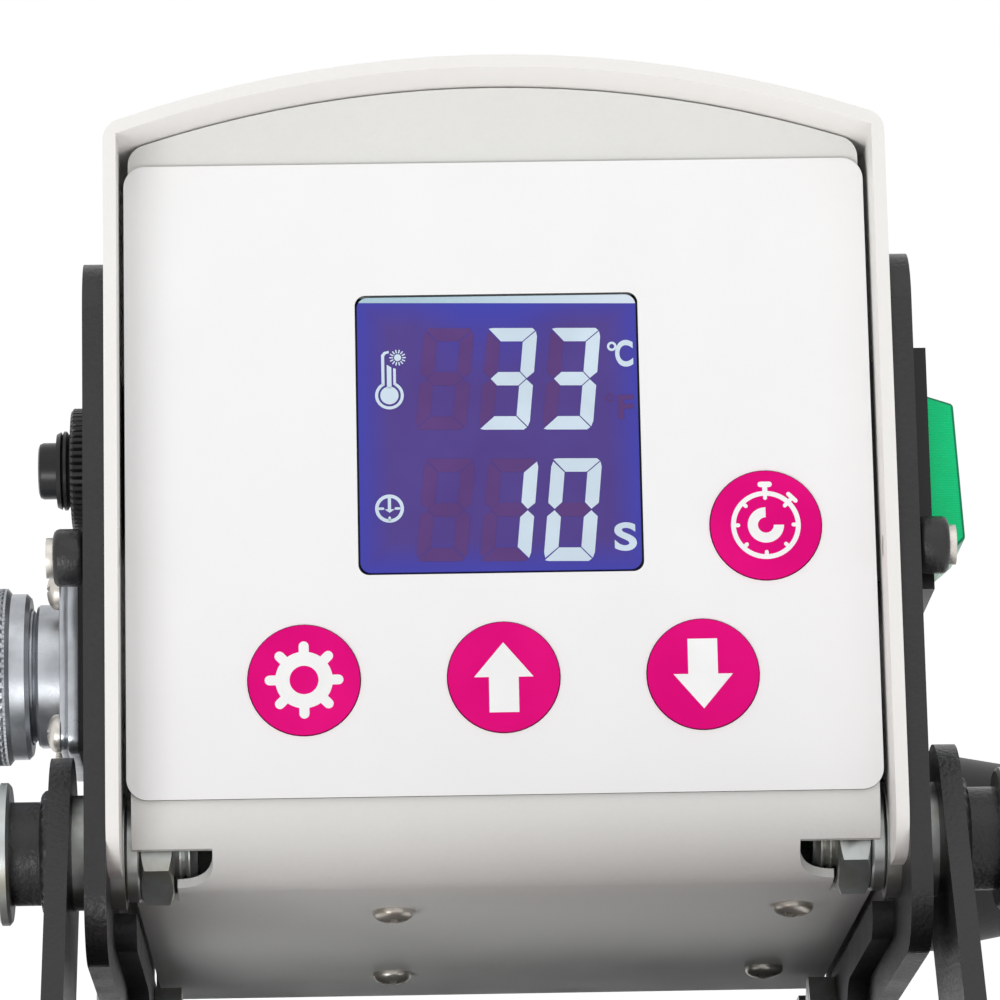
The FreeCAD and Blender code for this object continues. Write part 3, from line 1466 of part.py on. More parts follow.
def make_base():
    body = new_body("base_body")
    half = base_width / 2
    front = base_rear - base_length
    outline = rounded_rectangle(-half, half, front, base_rear, base_round)
    drawing = sketch(body, "base_outline", "XY_Plane", [outline], offset=base_lift)
    pad(body, "base_pad", drawing, base_skirt)
    inner = rounded_rectangle(-(half - base_gauge), half - base_gauge, front + base_gauge,
                              base_rear - base_gauge, base_round - base_gauge)
    room = sketch(body, "base_room", "XY_Plane", [inner], offset=base_lift)
    pocket(body, "base_room_cut", room, base_skirt - base_gauge, reverse=True)
    feet = [(way * (half - foot_inset), place) for way in (-1, 1)
            for place in (front + foot_inset, base_rear - foot_inset)]
    bolts = [(across, place, frame_bolt_radius + running_gap) for across, place in base_bolt_spots()]
    screws = [(across, place, foot_screw_radius + running_gap) for across, place in feet]
    drilled = sketch(body, "base_holes", "XY_Plane", [], [*bolts, *screws], offset=base_top - 2 * base_gauge)
    pocket(body, "base_hole_cut", drilled, 3 * base_gauge, reverse=True)
    node(body, "base_tray")
    rubber = []
    heads = []
    top = base_top - base_gauge
    for count, (across, place) in enumerate(feet):
        cone = doc.addObject("Part::Cone", f"foot_cone_{count}")
        tie(cone, "Radius1", foot_toe_radius)
        tie(cone, "Radius2", foot_radius)
        tie(cone, "Height", top)
        move(cone, (across, place, 0))
        recess = rod(f"foot_recess_{count}", foot_recess_radius, foot_recess_depth, (across, place, 0), "Z")
        bore = rod(f"foot_bore_{count}", foot_screw_radius + running_gap, top, (across, place, 0), "Z")
        rubber.append(cut(f"foot_cut_{count}", cone, [recess, bore]))
        crown = rod(f"foot_screw_head_{count}", foot_screw_head_radius, foot_screw_head_length,
                    (across, place, foot_recess_depth - foot_screw_head_length), "Z")
        shank = rod(f"foot_screw_shank_{count}", foot_screw_radius, base_top - foot_recess_depth,
                    (across, place, foot_recess_depth), "Z")
        heads.append(joined(f"foot_screw_{count}", [crown, shank]))
    node(group("foot_group", rubber), "rubber_feet")
    node(group("foot_screw_group", heads), "foot_screws")


make_hood()
make_chassis()
make_rear_panel()
make_overlay()
make_window()
make_keys()
make_power(make_display())
make_side_plates()
make_side_bosses()
make_breaker()
make_connector()
make_switch()
make_gland()
make_pivots()
make_lever()
make_front_jaw()
make_rear_jaw()
make_uprights()
make_braces()
make_frame_bolts()
make_base()
doc.recompute()

failed = [item.Name for item in doc.Objects if "Invalid" in item.State or "Error" in item.State]
if failed:
    raise RuntimeError("these objects failed: " + ", ".join(failed))
for item in nodes:
    if item.Shape.isNull() or not item.Shape.isValid():
        raise RuntimeError("no valid shape for " + item.Label)

os.makedirs("parts", exist_ok=True)
for item in nodes:
    item.Shape.exportStep(f"parts/{item.Label}.step")
print(len(nodes), "sub-parts written")
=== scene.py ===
"""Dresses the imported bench-top mug press: finishes on the solids, and the fine pieces that they leave out."""

import json
import logging
import math
from dataclasses import dataclass, field
from enum import Enum

import bmesh
import bpy
from mathutils import Matrix, Vector, noise

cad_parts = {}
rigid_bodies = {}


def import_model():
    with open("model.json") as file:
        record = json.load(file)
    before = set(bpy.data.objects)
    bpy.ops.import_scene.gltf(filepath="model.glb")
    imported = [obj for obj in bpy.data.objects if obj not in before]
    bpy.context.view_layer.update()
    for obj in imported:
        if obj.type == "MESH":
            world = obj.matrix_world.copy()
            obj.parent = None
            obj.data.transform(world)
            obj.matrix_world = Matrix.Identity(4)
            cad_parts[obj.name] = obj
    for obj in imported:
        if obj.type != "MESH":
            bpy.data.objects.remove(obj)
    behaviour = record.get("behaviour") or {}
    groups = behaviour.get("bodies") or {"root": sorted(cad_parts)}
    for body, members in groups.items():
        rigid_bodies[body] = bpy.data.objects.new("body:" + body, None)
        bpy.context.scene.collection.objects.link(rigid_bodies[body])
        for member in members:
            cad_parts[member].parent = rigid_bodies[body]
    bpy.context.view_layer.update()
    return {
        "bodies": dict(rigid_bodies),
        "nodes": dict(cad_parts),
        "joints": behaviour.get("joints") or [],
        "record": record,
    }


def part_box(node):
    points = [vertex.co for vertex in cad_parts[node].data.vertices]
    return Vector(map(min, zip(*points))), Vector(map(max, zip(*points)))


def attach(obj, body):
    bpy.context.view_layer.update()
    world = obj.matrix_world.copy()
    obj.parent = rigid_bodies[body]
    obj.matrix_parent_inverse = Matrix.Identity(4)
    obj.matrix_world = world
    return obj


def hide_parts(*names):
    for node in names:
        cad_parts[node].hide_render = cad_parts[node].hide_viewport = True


log = logging.getLogger("mug_press")
MM = 0.001
Point = tuple[float, float, float]
Flat = tuple[float, float]
Colour = tuple[float, float, float]


def srgb(red: float, green: float, blue: float) -> Colour:
    """Turns a colour written in 0 to 255 screen values into linear light."""

    def channel(value: float) -> float:
        value /= 255
        return value / 12.92 if value <= 0.04045 else ((value + 0.055) / 1.055) ** 2.4

    return channel(red), channel(green), channel(blue)


class Value:
    """A number socket of a material that takes part in arithmetic."""

    def __init__(self, graph: "Graph", socket: bpy.types.NodeSocket) -> None:
        """Keeps the graph and the socket."""
        self.graph = graph
        self.socket = socket

    def _maths(self, operation: str, *values: "Value | float", clamp: bool = False) -> "Value":
        """Adds one Math node.

        Args:
            operation: the node's operation.
            values: its inputs in order.
            clamp: whether the result is kept between 0 and 1.

        Returns:
            The node's result.
        """
        return self.graph.number("ShaderNodeMath", {"operation": operation, "use_clamp": clamp}, *values)

    def __add__(self, other: "Value | float") -> "Value":
        """Adds."""
        return self._maths("ADD", self, other)

    def __radd__(self, other: float) -> "Value":
        """Adds from the left."""
        return self._maths("ADD", other, self)

    def __sub__(self, other: "Value | float") -> "Value":
        """Subtracts."""
        return self._maths("SUBTRACT", self, other)

    def __rsub__(self, other: float) -> "Value":
        """Subtracts from the left."""
        return self._maths("SUBTRACT", other, self)

    def __mul__(self, other: "Value | float") -> "Value":
        """Multiplies."""
        return self._maths("MULTIPLY", self, other)

    def __rmul__(self, other: float) -> "Value":
        """Multiplies from the left."""
        return self._maths("MULTIPLY", other, self)

    def __truediv__(self, other: "Value | float") -> "Value":
        """Divides."""
        return self._maths("DIVIDE", self, other)

    def __abs__(self) -> "Value":
        """Takes the size without the sign."""
        return self._maths("ABSOLUTE", self)

    def sine(self) -> "Value":
        """Takes the sine."""
        return self._maths("SINE", self)

    def above(self, limit: float, width: float) -> "Value":
        """Rises from 0 to 1 over a width that starts at a limit."""
        return self._maths("MULTIPLY", self - limit, 1 / width, clamp=True)

    def greater(self, other: "Value | float") -> "Value":
        """Takes the larger of two values."""
        return self._maths("MAXIMUM", self, other)


class Graph:
    """The node tree of one material."""

    def __init__(self, name: str) -> None:
        """Starts an empty material of a name."""
        self.material = bpy.data.materials.new(name)
        self.material.use_nodes = True
        self.tree = self.material.node_tree
        self.tree.nodes.clear()

    def node(
        self, kind: str, settings: dict[str, object], *values: object, **named: object
    ) -> bpy.types.Node:
        """Adds a node.

        Args:
            kind: the node's type.
            settings: its properties, which are set first.
            values: numbers, colours or links for its first inputs in order.
            named: the same for inputs by name, with _ for a space.

        Returns:
            The node.
        """
        item = self.tree.nodes.new(kind)
        for key, value in settings.items():
            setattr(item, key, value)
        pairs = list(enumerate(values)) + [(key.replace("_", " "), value) for key, value in named.items()]
        for key, value in pairs:
            socket = item.inputs[key]
            if isinstance(value, Value):
                value = value.socket
            if isinstance(value, bpy.types.NodeSocket):
                self.tree.links.new(value, socket)
            elif isinstance(value, tuple) and len(value) == 3 and socket.type == "RGBA":
                socket.default_value = (*value, 1)
            else:
                socket.default_value = value
        return item

    def number(self, kind: str, settings: dict[str, object], *values: object, **named: object) -> Value:
        """Adds a node and takes its first output as a number, with the same arguments as node."""
        return Value(self, self.node(kind, settings, *values, **named).outputs[0])

    def place(self) -> bpy.types.NodeSocket:
        """Gives the object coordinates, which are metres in the row frame."""
        return self.node("ShaderNodeTexCoord", {}).outputs["Object"]

    def along(self, direction: Vector, origin: Vector) -> Value:
        """Gives the distance along a direction from an origin, in millimetres."""
        moved = self.node("ShaderNodeVectorMath", {"operation": "SUBTRACT"}, self.place(), tuple(origin))
        product = {"operation": "DOT_PRODUCT"}
        turned = self.node("ShaderNodeVectorMath", product, moved.outputs[0], tuple(direction))
        return Value(self, turned.outputs["Value"]) * (1 / MM)

    def facing(self, direction: Vector) -> Value:
        """Gives how far a surface faces a direction, from -1 to 1."""
        normal = self.node("ShaderNodeNewGeometry", {}).outputs["Normal"]
        dot = self.node("ShaderNodeVectorMath", {"operation": "DOT_PRODUCT"}, normal, tuple(direction))
        return Value(self, dot.outputs["Value"])

    def noise(self, size_mm: float, detail: float = 3, stretch: Point = (1, 1, 1)) -> Value:
        """Gives noise from 0 to 1.

        Args:
            size_mm: the size of its largest lumps.
            detail: its octaves.
            stretch: how much denser it is along each axis.

        Returns:
            The noise.
        """
        mapped = self.node("ShaderNodeMapping", {}, self.place(), Scale=stretch)
        return self.number(
            "ShaderNodeTexNoise", {}, Vector=mapped.outputs[0], Scale=1 / (size_mm * MM), Detail=detail
        )

    def blend(self, factor: Value | float, first: object, second: object) -> bpy.types.NodeSocket:
        """Mixes two colours."""
        item = self.node("ShaderNodeMix", {"data_type": "RGBA"})
        for socket, value in ((item.inputs[0], factor), (item.inputs[6], first), (item.inputs[7], second)):
            if isinstance(value, Value):
                value = value.socket
            if isinstance(value, bpy.types.NodeSocket):
                self.tree.links.new(value, socket)
            else:
                socket.default_value = (*value, 1) if isinstance(value, tuple) else value
        return item.outputs[2]

    def bump(self, height: Value, depth_mm: float) -> bpy.types.NodeSocket:
        """Turns a height from 0 to 1 into a bumped normal."""
        return self.node(
            "ShaderNodeBump", {}, Strength=1.0, Distance=depth_mm * MM, Height=height
        ).outputs[0]

    def surface(self, **sockets: object) -> bpy.types.Material:
        """Ends the tree with a principled surface.

        Args:
            sockets: its inputs by name, with _ for a space.

        Returns:
            The material.
        """
        shader = self.node("ShaderNodeBsdfPrincipled", {}, **sockets)
        self.node("ShaderNodeOutputMaterial", {}, shader.outputs[0])
        return self.material


@dataclass(frozen=True)
class PowderPaint:
    """Baked powder paint with an orange-peel grain."""

    name: str
    colour: Colour
    roughness: float = 0.45
    grain_mm: float = 1.0
    depth_mm: float = 0.05
    mottle: float = 0.06
    shine: float = 0.3

    def build(self) -> bpy.types.Material:
        """Makes the material."""
        graph = Graph(self.name)
        fine = graph.noise(self.grain_mm, 4)
        broad = graph.noise(self.grain_mm * 14, 2)
        darker = tuple(channel * (1 - 2 * self.mottle) for channel in self.colour)
        lighter = tuple(min(channel * (1 + self.mottle) + 0.002, 1) for channel in self.colour)
        return graph.surface(
            Base_Color=graph.blend(fine * 0.5 + broad * 0.5, darker, lighter),
            Roughness=self.roughness + 0.18 * (broad - 0.5) + 0.12 * (fine - 0.5),
            Specular_IOR_Level=self.shine,
            Normal=graph.bump(fine, self.depth_mm),
        )


@dataclass(frozen=True)
class PlatedSteel:
    """Zinc or nickel plating with fine turning marks and a light tarnish."""

    name: str
    colour: Colour
    tarnish: Colour
    roughness: float = 0.28
    mark_mm: float = 0.5
    depth_mm: float = 0.01
    metal: float = 0.85

    def build(self) -> bpy.types.Material:
        """Makes the material."""
        graph = Graph(self.name)
        marks = graph.noise(self.mark_mm, 3, (6, 1, 1))
        stain = graph.noise(self.mark_mm * 12, 3)
        return graph.surface(
            Base_Color=graph.blend(stain.above(0.42, 0.3), self.colour, self.tarnish),
            Metallic=self.metal,
            Roughness=self.roughness + 0.2 * (stain - 0.5) + 0.15 * (marks - 0.5),
            Normal=graph.bump(marks, self.depth_mm),
        )


@dataclass(frozen=True)
class MouldedPlastic:
    """Moulded plastic or rubber with a faint sparkle of its own grain."""

    name: str
    colour: Colour
    roughness: float = 0.4
    grain_mm: float = 0.3
    depth_mm: float = 0.01
    shine: float = 0.3

    def build(self) -> bpy.types.Material:
        """Makes the material."""
        graph = Graph(self.name)
        grain = graph.noise(self.grain_mm, 3)
        haze = graph.noise(self.grain_mm * 30, 2)
        paler = tuple(min(channel * 1.15 + 0.004, 1) for channel in self.colour)
        return graph.surface(
            Base_Color=graph.blend(haze.above(0.4, 0.4), self.colour, paler),
            Roughness=self.roughness + 0.14 * (haze - 0.5),
            Specular_IOR_Level=self.shine,
            Normal=graph.bump(grain, self.depth_mm),
        )


@dataclass(frozen=True)
class CellFoam:
    """Closed-cell foam rubber with a skin of small pits."""

    name: str
    colour: Colour
    cell_mm: float = 1.1
    depth_mm: float = 0.16

    def build(self) -> bpy.types.Material:
        """Makes the material."""
        graph = Graph(self.name)
        cells = graph.number("ShaderNodeTexVoronoi", {}, Vector=graph.place(), Scale=1 / (self.cell_mm * MM))
        rubbed = graph.noise(18, 3)
        paler = tuple(channel * 1.9 + 0.006 for channel in self.colour)
        return graph.surface(
            Base_Color=graph.blend(rubbed.above(0.45, 0.4), self.colour, paler),
            Roughness=0.86 + 0.16 * (rubbed - 0.5),
            Specular_IOR_Level=0.2,
            Normal=graph.bump(cells, self.depth_mm),
        )


@dataclass(frozen=True)
class WovenSilicone:
    """Silicone rubber pressed over glass cloth, as on flexible heaters."""

    name: str
    colour: Colour
    thread_mm: float = 1.1
    depth_mm: float = 0.09

    def build(self) -> bpy.types.Material:
        """Makes the material."""
        graph = Graph(self.name)
        origin = Vector((0, 0, 0))
        turns = math.tau / self.thread_mm
        warp = (graph.along(Vector((1, 0, 0)), origin) * turns).sine()
        weft = (graph.along(Vector((0, 0, 1)), origin) * turns).sine()
        weave = warp * weft * 0.5 + 0.5
        scorch = graph.noise(26, 3)
        darker = tuple(channel * 0.62 for channel in self.colour)
        return graph.surface(
            Base_Color=graph.blend(scorch.above(0.4, 0.45) * 0.7 + weave * 0.15, self.colour, darker),
            Roughness=0.55 + 0.2 * (scorch - 0.5),
            Specular_IOR_Level=0.3,
            Normal=graph.bump(weave, self.depth_mm),
        )


class Look(Enum):
    """The finishes of the press by name."""

    WHITE_PAINT = PowderPaint("white_paint", srgb(241, 239, 236), 0.42, 0.8, 0.03, 0.012, 0.2)
    PANEL_PAINT = PowderPaint("panel_paint", srgb(228, 228, 225), 0.5, 0.7, 0.05, 0.02, 0.2)
    BLACK_POWDER = PowderPaint("black_powder", srgb(38, 37, 39), 0.34, 0.7, 0.13, 0.25, 0.4)
    BASE_POWDER = PowderPaint("base_powder", srgb(44, 44, 46), 0.44, 0.8, 0.1, 0.22, 0.3)
    ZINC = PlatedSteel("zinc_plate", srgb(184, 189, 188), srgb(156, 153, 142), 0.36)
    NICKEL = PlatedSteel("nickel_plate", srgb(186, 190, 195), srgb(160, 163, 168), 0.32, 0.35)
    BRIGHT_SCREW = PlatedSteel(
        "bright_screw", srgb(214, 210, 203), srgb(176, 168, 156), 0.34, 0.4, 0.004, 0.7
    )
    KEY_FILM = MouldedPlastic("magenta_film", srgb(224, 0, 122), 0.45, 0.5, 0.004, 0.08)
    ICON_INK = MouldedPlastic("icon_ink", srgb(245, 245, 245), 0.45, 0.4, 0.003, 0.12)
    BLACK_PLASTIC = MouldedPlastic("black_plastic", srgb(30, 30, 31), 0.32, 0.4, 0.01)
    GLAND_PLASTIC = MouldedPlastic("gland_plastic", srgb(34, 34, 36), 0.45, 0.6, 0.03)
    RUBBER = MouldedPlastic("black_rubber", srgb(28, 28, 28), 0.75, 0.5, 0.03)
    FOAM = CellFoam("grip_foam", srgb(33, 33, 34))
    SILICONE = WovenSilicone("silicone_mat", srgb(165, 62, 40))
    LAMINATE = MouldedPlastic("board_laminate", srgb(38, 98, 56), 0.4, 0.4, 0.01)
    IRON = PowderPaint("iron_core", srgb(92, 92, 96), 0.5, 0.8, 0.03, 0.15)
    TERMINAL_BLUE = MouldedPlastic("terminal_blue", srgb(40, 84, 150), 0.45, 0.4, 0.01)
    SEGMENT_LIT = MouldedPlastic("segment_lit", srgb(204, 220, 233), 0.5, 0.3, 0.001, 0.1)
    SEGMENT_OFF = MouldedPlastic("segment_off", srgb(91, 62, 122), 0.5, 0.3, 0.001, 0.1)


class Finishes:
    """Makes each material once and hands it out."""

    def __init__(self) -> None:
        """Starts with none made."""
        self.made: dict[Look, bpy.types.Material] = {}

    def get(self, look: Look) -> bpy.types.Material:
        """Gives the material of a look."""
        if look not in self.made:
            self.made[look] = look.value.build()
        return self.made[look]


@dataclass(frozen=True)
class HeadFrame:
    """The leaning frame of the head: x across, d into the box, h up along the panel, in millimetres."""

    pivot: Vector
    tilt_deg: float = 30.0
    pivot_depth: float = 10.6
    pivot_height: float = 5.7

    def matrix(self) -> Matrix:
        """Gives the matrix from the head frame, in metres, to the row frame."""
        turn = Matrix.Rotation(math.radians(-self.tilt_deg), 4, "X")
        corner = self.pivot - turn @ Vector((0, self.pivot_depth * MM, self.pivot_height * MM))
        return Matrix.Translation(corner) @ turn

    def direction(self, across: float, depth: float, height: float) -> Vector:
        """Turns a direction of the head frame into the row frame."""
        return (self.matrix().to_3x3() @ Vector((across, depth, height))).normalized()

    def point(self, across: float, depth: float, height: float) -> Vector:
        """Turns a point of the head frame, in millimetres, into the row frame, in metres."""
        return self.matrix() @ Vector((across * MM, depth * MM, height * MM))


class Bench:
    """Models pieces by operators, in a frame of millimetres, and settles them in the row frame."""

    def __init__(self, frame: Matrix) -> None:
        """Keeps the frame that the pieces are drawn in."""
        self.frame = frame

    @staticmethod
    def clear() -> None:
        """Deselects everything."""
        if bpy.context.object and bpy.context.object.mode != "OBJECT":
            bpy.ops.object.mode_set(mode="OBJECT")
        bpy.ops.object.select_all(action="DESELECT")

    def sheet(self, outline: list[Flat], front: float, gauge: float) -> bpy.types.Object:
        """Cuts a flat shape that faces -d.

        Args:
            outline: its corners as (x, h).
            front: the depth d of its front face.
            gauge: its thickness.

        Returns:
            The shape.
        """
        self.clear()
        bpy.ops.mesh.primitive_circle_add(vertices=len(outline), radius=1, fill_type="NGON")
        shape = bpy.context.object
        for vertex, (across, height) in zip(shape.data.vertices, outline):
            vertex.co = (across, front, height)
        bpy.ops.object.mode_set(mode="EDIT")
        bpy.ops.mesh.select_all(action="SELECT")
        bpy.ops.mesh.extrude_region_move(TRANSFORM_OT_translate={"value": (0, gauge, 0)})
        bpy.ops.mesh.select_all(action="SELECT")
        bpy.ops.mesh.normals_make_consistent(inside=False)
        bpy.ops.object.mode_set(mode="OBJECT")
        return shape

    def lathe(
        self, profile: list[Flat], axis_at: Point, steps: int = 64, axis: str = "X"
    ) -> bpy.types.Object:
        """Turns a profile about an axis.

        Args:
            profile: points as (place along the axis, radius).
            axis_at: a point on the axis, from which the places count.
            steps: the number of faces around.
            axis: X or H for the direction of the axis.

        Returns:
            The turned shape.
        """
        self.clear()
        bpy.ops.mesh.primitive_plane_add(size=0.01)
        shape = bpy.context.object
        bpy.ops.object.mode_set(mode="EDIT")
        bpy.ops.mesh.select_all(action="SELECT")
        bpy.ops.mesh.merge(type="CENTER")
        corners = [Vector((place, 0, radius)) for place, radius in profile]
        bpy.ops.transform.translate(value=corners[0])
        for last, corner in zip(corners, corners[1:]):
            bpy.ops.mesh.extrude_region_move(TRANSFORM_OT_translate={"value": corner - last})
        bpy.ops.mesh.select_all(action="SELECT")
        bpy.ops.mesh.spin(steps=steps, angle=math.tau, center=(0, 0, 0), axis=(1, 0, 0))
        bpy.ops.mesh.select_all(action="SELECT")
        bpy.ops.mesh.remove_doubles(threshold=0.002)
        bpy.ops.mesh.select_all(action="SELECT")
        bpy.ops.mesh.normals_make_consistent(inside=False)
        bpy.ops.object.mode_set(mode="OBJECT")
        turns = {
            "X": Matrix.Identity(4),
            "H": Matrix.Rotation(-math.pi / 2, 4, "Y"),
        }
        shape.data.transform(Matrix.Translation(Vector(axis_at)) @ turns[axis])
        return shape

    def block(self, low: Point, high: Point) -> bpy.types.Object:
        """Adds a block between two corners, to be shaped further."""
        self.clear()
        bpy.ops.mesh.primitive_cube_add(size=1)
        shape = bpy.context.object
        lengths = [top - bottom for bottom, top in zip(low, high)]
        middle = [(top + bottom) / 2 for bottom, top in zip(low, high)]
        shape.data.transform(Matrix.Translation(middle) @ Matrix.Diagonal((*lengths, 1)))
        return shape

    def bevel(self, shape: bpy.types.Object, width: float, segments: int = 3, angle: float = 30) -> None:
        """Rounds the edges of a shape that are sharper than an angle in degrees."""
        self.apply(shape, "BEVEL", width=width, segments=segments, limit_method="ANGLE",
                   angle_limit=math.radians(angle), harden_normals=False)

    def cut(self, shape: bpy.types.Object, tool: bpy.types.Object) -> None:
        """Cuts a tool out of a shape and removes the tool."""
        self.apply(shape, "BOOLEAN", operation="DIFFERENCE", object=tool, solver="EXACT")
        bpy.data.objects.remove(tool)

    def apply(self, shape: bpy.types.Object, kind: str, **settings: object) -> None:
        """Adds a modifier with its settings and applies it."""
        self.clear()
        shape.select_set(True)
        bpy.context.view_layer.objects.active = shape
        modifier = shape.modifiers.new(kind.lower(), kind)
        for key, value in settings.items():
            setattr(modifier, key, value)
        bpy.ops.object.modifier_apply(modifier=modifier.name)

    def copy(self, shape: bpy.types.Object, change: Matrix) -> bpy.types.Object:
        """Copies a shape with its own mesh, changed by a matrix of the head frame."""
        twin = shape.copy()
        twin.data = shape.data.copy()
        bpy.context.scene.collection.objects.link(twin)
        twin.data.transform(change)
        if change.determinant() < 0:
            twin.data.flip_normals()
        return twin

    def join(self, shapes: list[bpy.types.Object]) -> bpy.types.Object:
        """Joins shapes into the first."""
        self.clear()
        for shape in shapes:
            shape.select_set(True)
        bpy.context.view_layer.objects.active = shapes[0]
        if len(shapes) > 1:
            bpy.ops.object.join()
        return shapes[0]

    def settle(self, shape: bpy.types.Object, name: str, body: str, material: bpy.types.Material,
               slot: str, nodes: tuple[str, ...] = (), smooth: float = 35) -> bpy.types.Object:
        """Finishes a piece: places its mesh, dresses it and hands it to a body.

        Args:
            shape: the piece, still in millimetres of the bench's frame.
            name: its name.
            body: the CAD body that it moves with.
            material: its finish, unless its faces already have theirs.
            slot: the record's material slot, which is not used.
            nodes: the CAD nodes that it stands for.
            smooth: the angle in degrees under which edges shade smooth, or 0 for none.

        Returns:
            The piece.
        """
        self.clear()
        shape.select_set(True)
        bpy.context.view_layer.objects.active = shape
        if not shape.data.materials:
            shape.data.materials.append(material)
        if smooth:
            bpy.ops.object.shade_smooth_by_angle(angle=math.radians(smooth))
        shape.data.transform(self.frame @ Matrix.Scale(MM, 4))
        shape.name = name
        shape.data.name = name
        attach(shape, body)
        if nodes:
            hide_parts(*nodes)
        log.info("%s: %d faces, rides on %s", name, len(shape.data.polygons), body)
        return shape


def arc(centre: Flat, radius: float, start: float, end: float, count: int = 24) -> list[Flat]:
    """Gives points along an arc, with its angles in degrees."""
    return [
        (
            centre[0] + radius * math.cos(math.radians(start + (end - start) * step / count)),
            centre[1] + radius * math.sin(math.radians(start + (end - start) * step / count)),
        )
        for step in range(count + 1)
    ]


def band(centre: Flat, outer: float, inner: float, start: float, end: float) -> list[Flat]:
    """Gives the outline of part of a flat ring."""
    count = max(6, int(abs(end - start) / 6))
    return arc(centre, outer, start, end, count) + arc(centre, inner, end, start, count)


def bar(start: Flat, end: Flat, width: float, round_ends: bool = True) -> list[Flat]:
    """Gives the outline of a straight stroke from one point to another."""
    angle = math.degrees(math.atan2(end[1] - start[1], end[0] - start[0]))
    count = 6 if round_ends else 1
    return (arc(start, width / 2, angle + 90, angle + 270, count)
            + arc(end, width / 2, angle - 90, angle + 90, count))


def dome(start: float, radius: float, rise: float) -> list[Flat]:
    """Gives the rounded end of a profile for the lathe.

    Args:
        start: the place along the axis where it starts.
        radius: the radius there.
        rise: how far it stands out, below 0 for the other way.

    Returns:
        Its points from near the rim to the axis.
    """
    turns = [math.radians(step) for step in range(15, 91, 15)]
    return [(start + rise * math.sin(turn), radius * math.cos(turn)) for turn in turns]


def rounded_box(low: Flat, high: Flat, radius: float) -> list[Flat]:
    """Gives the outline of a rectangle with round corners."""
    (left, bottom), (right, top) = low, high
    points: list[Flat] = []
    for centre, start in (
        ((right - radius, bottom + radius), -90),
        ((right - radius, top - radius), 0),
        ((left + radius, top - radius), 90),
        ((left + radius, bottom + radius), 180),
    ):
        points += arc(centre, radius, start, start + 90, 6)
    return points


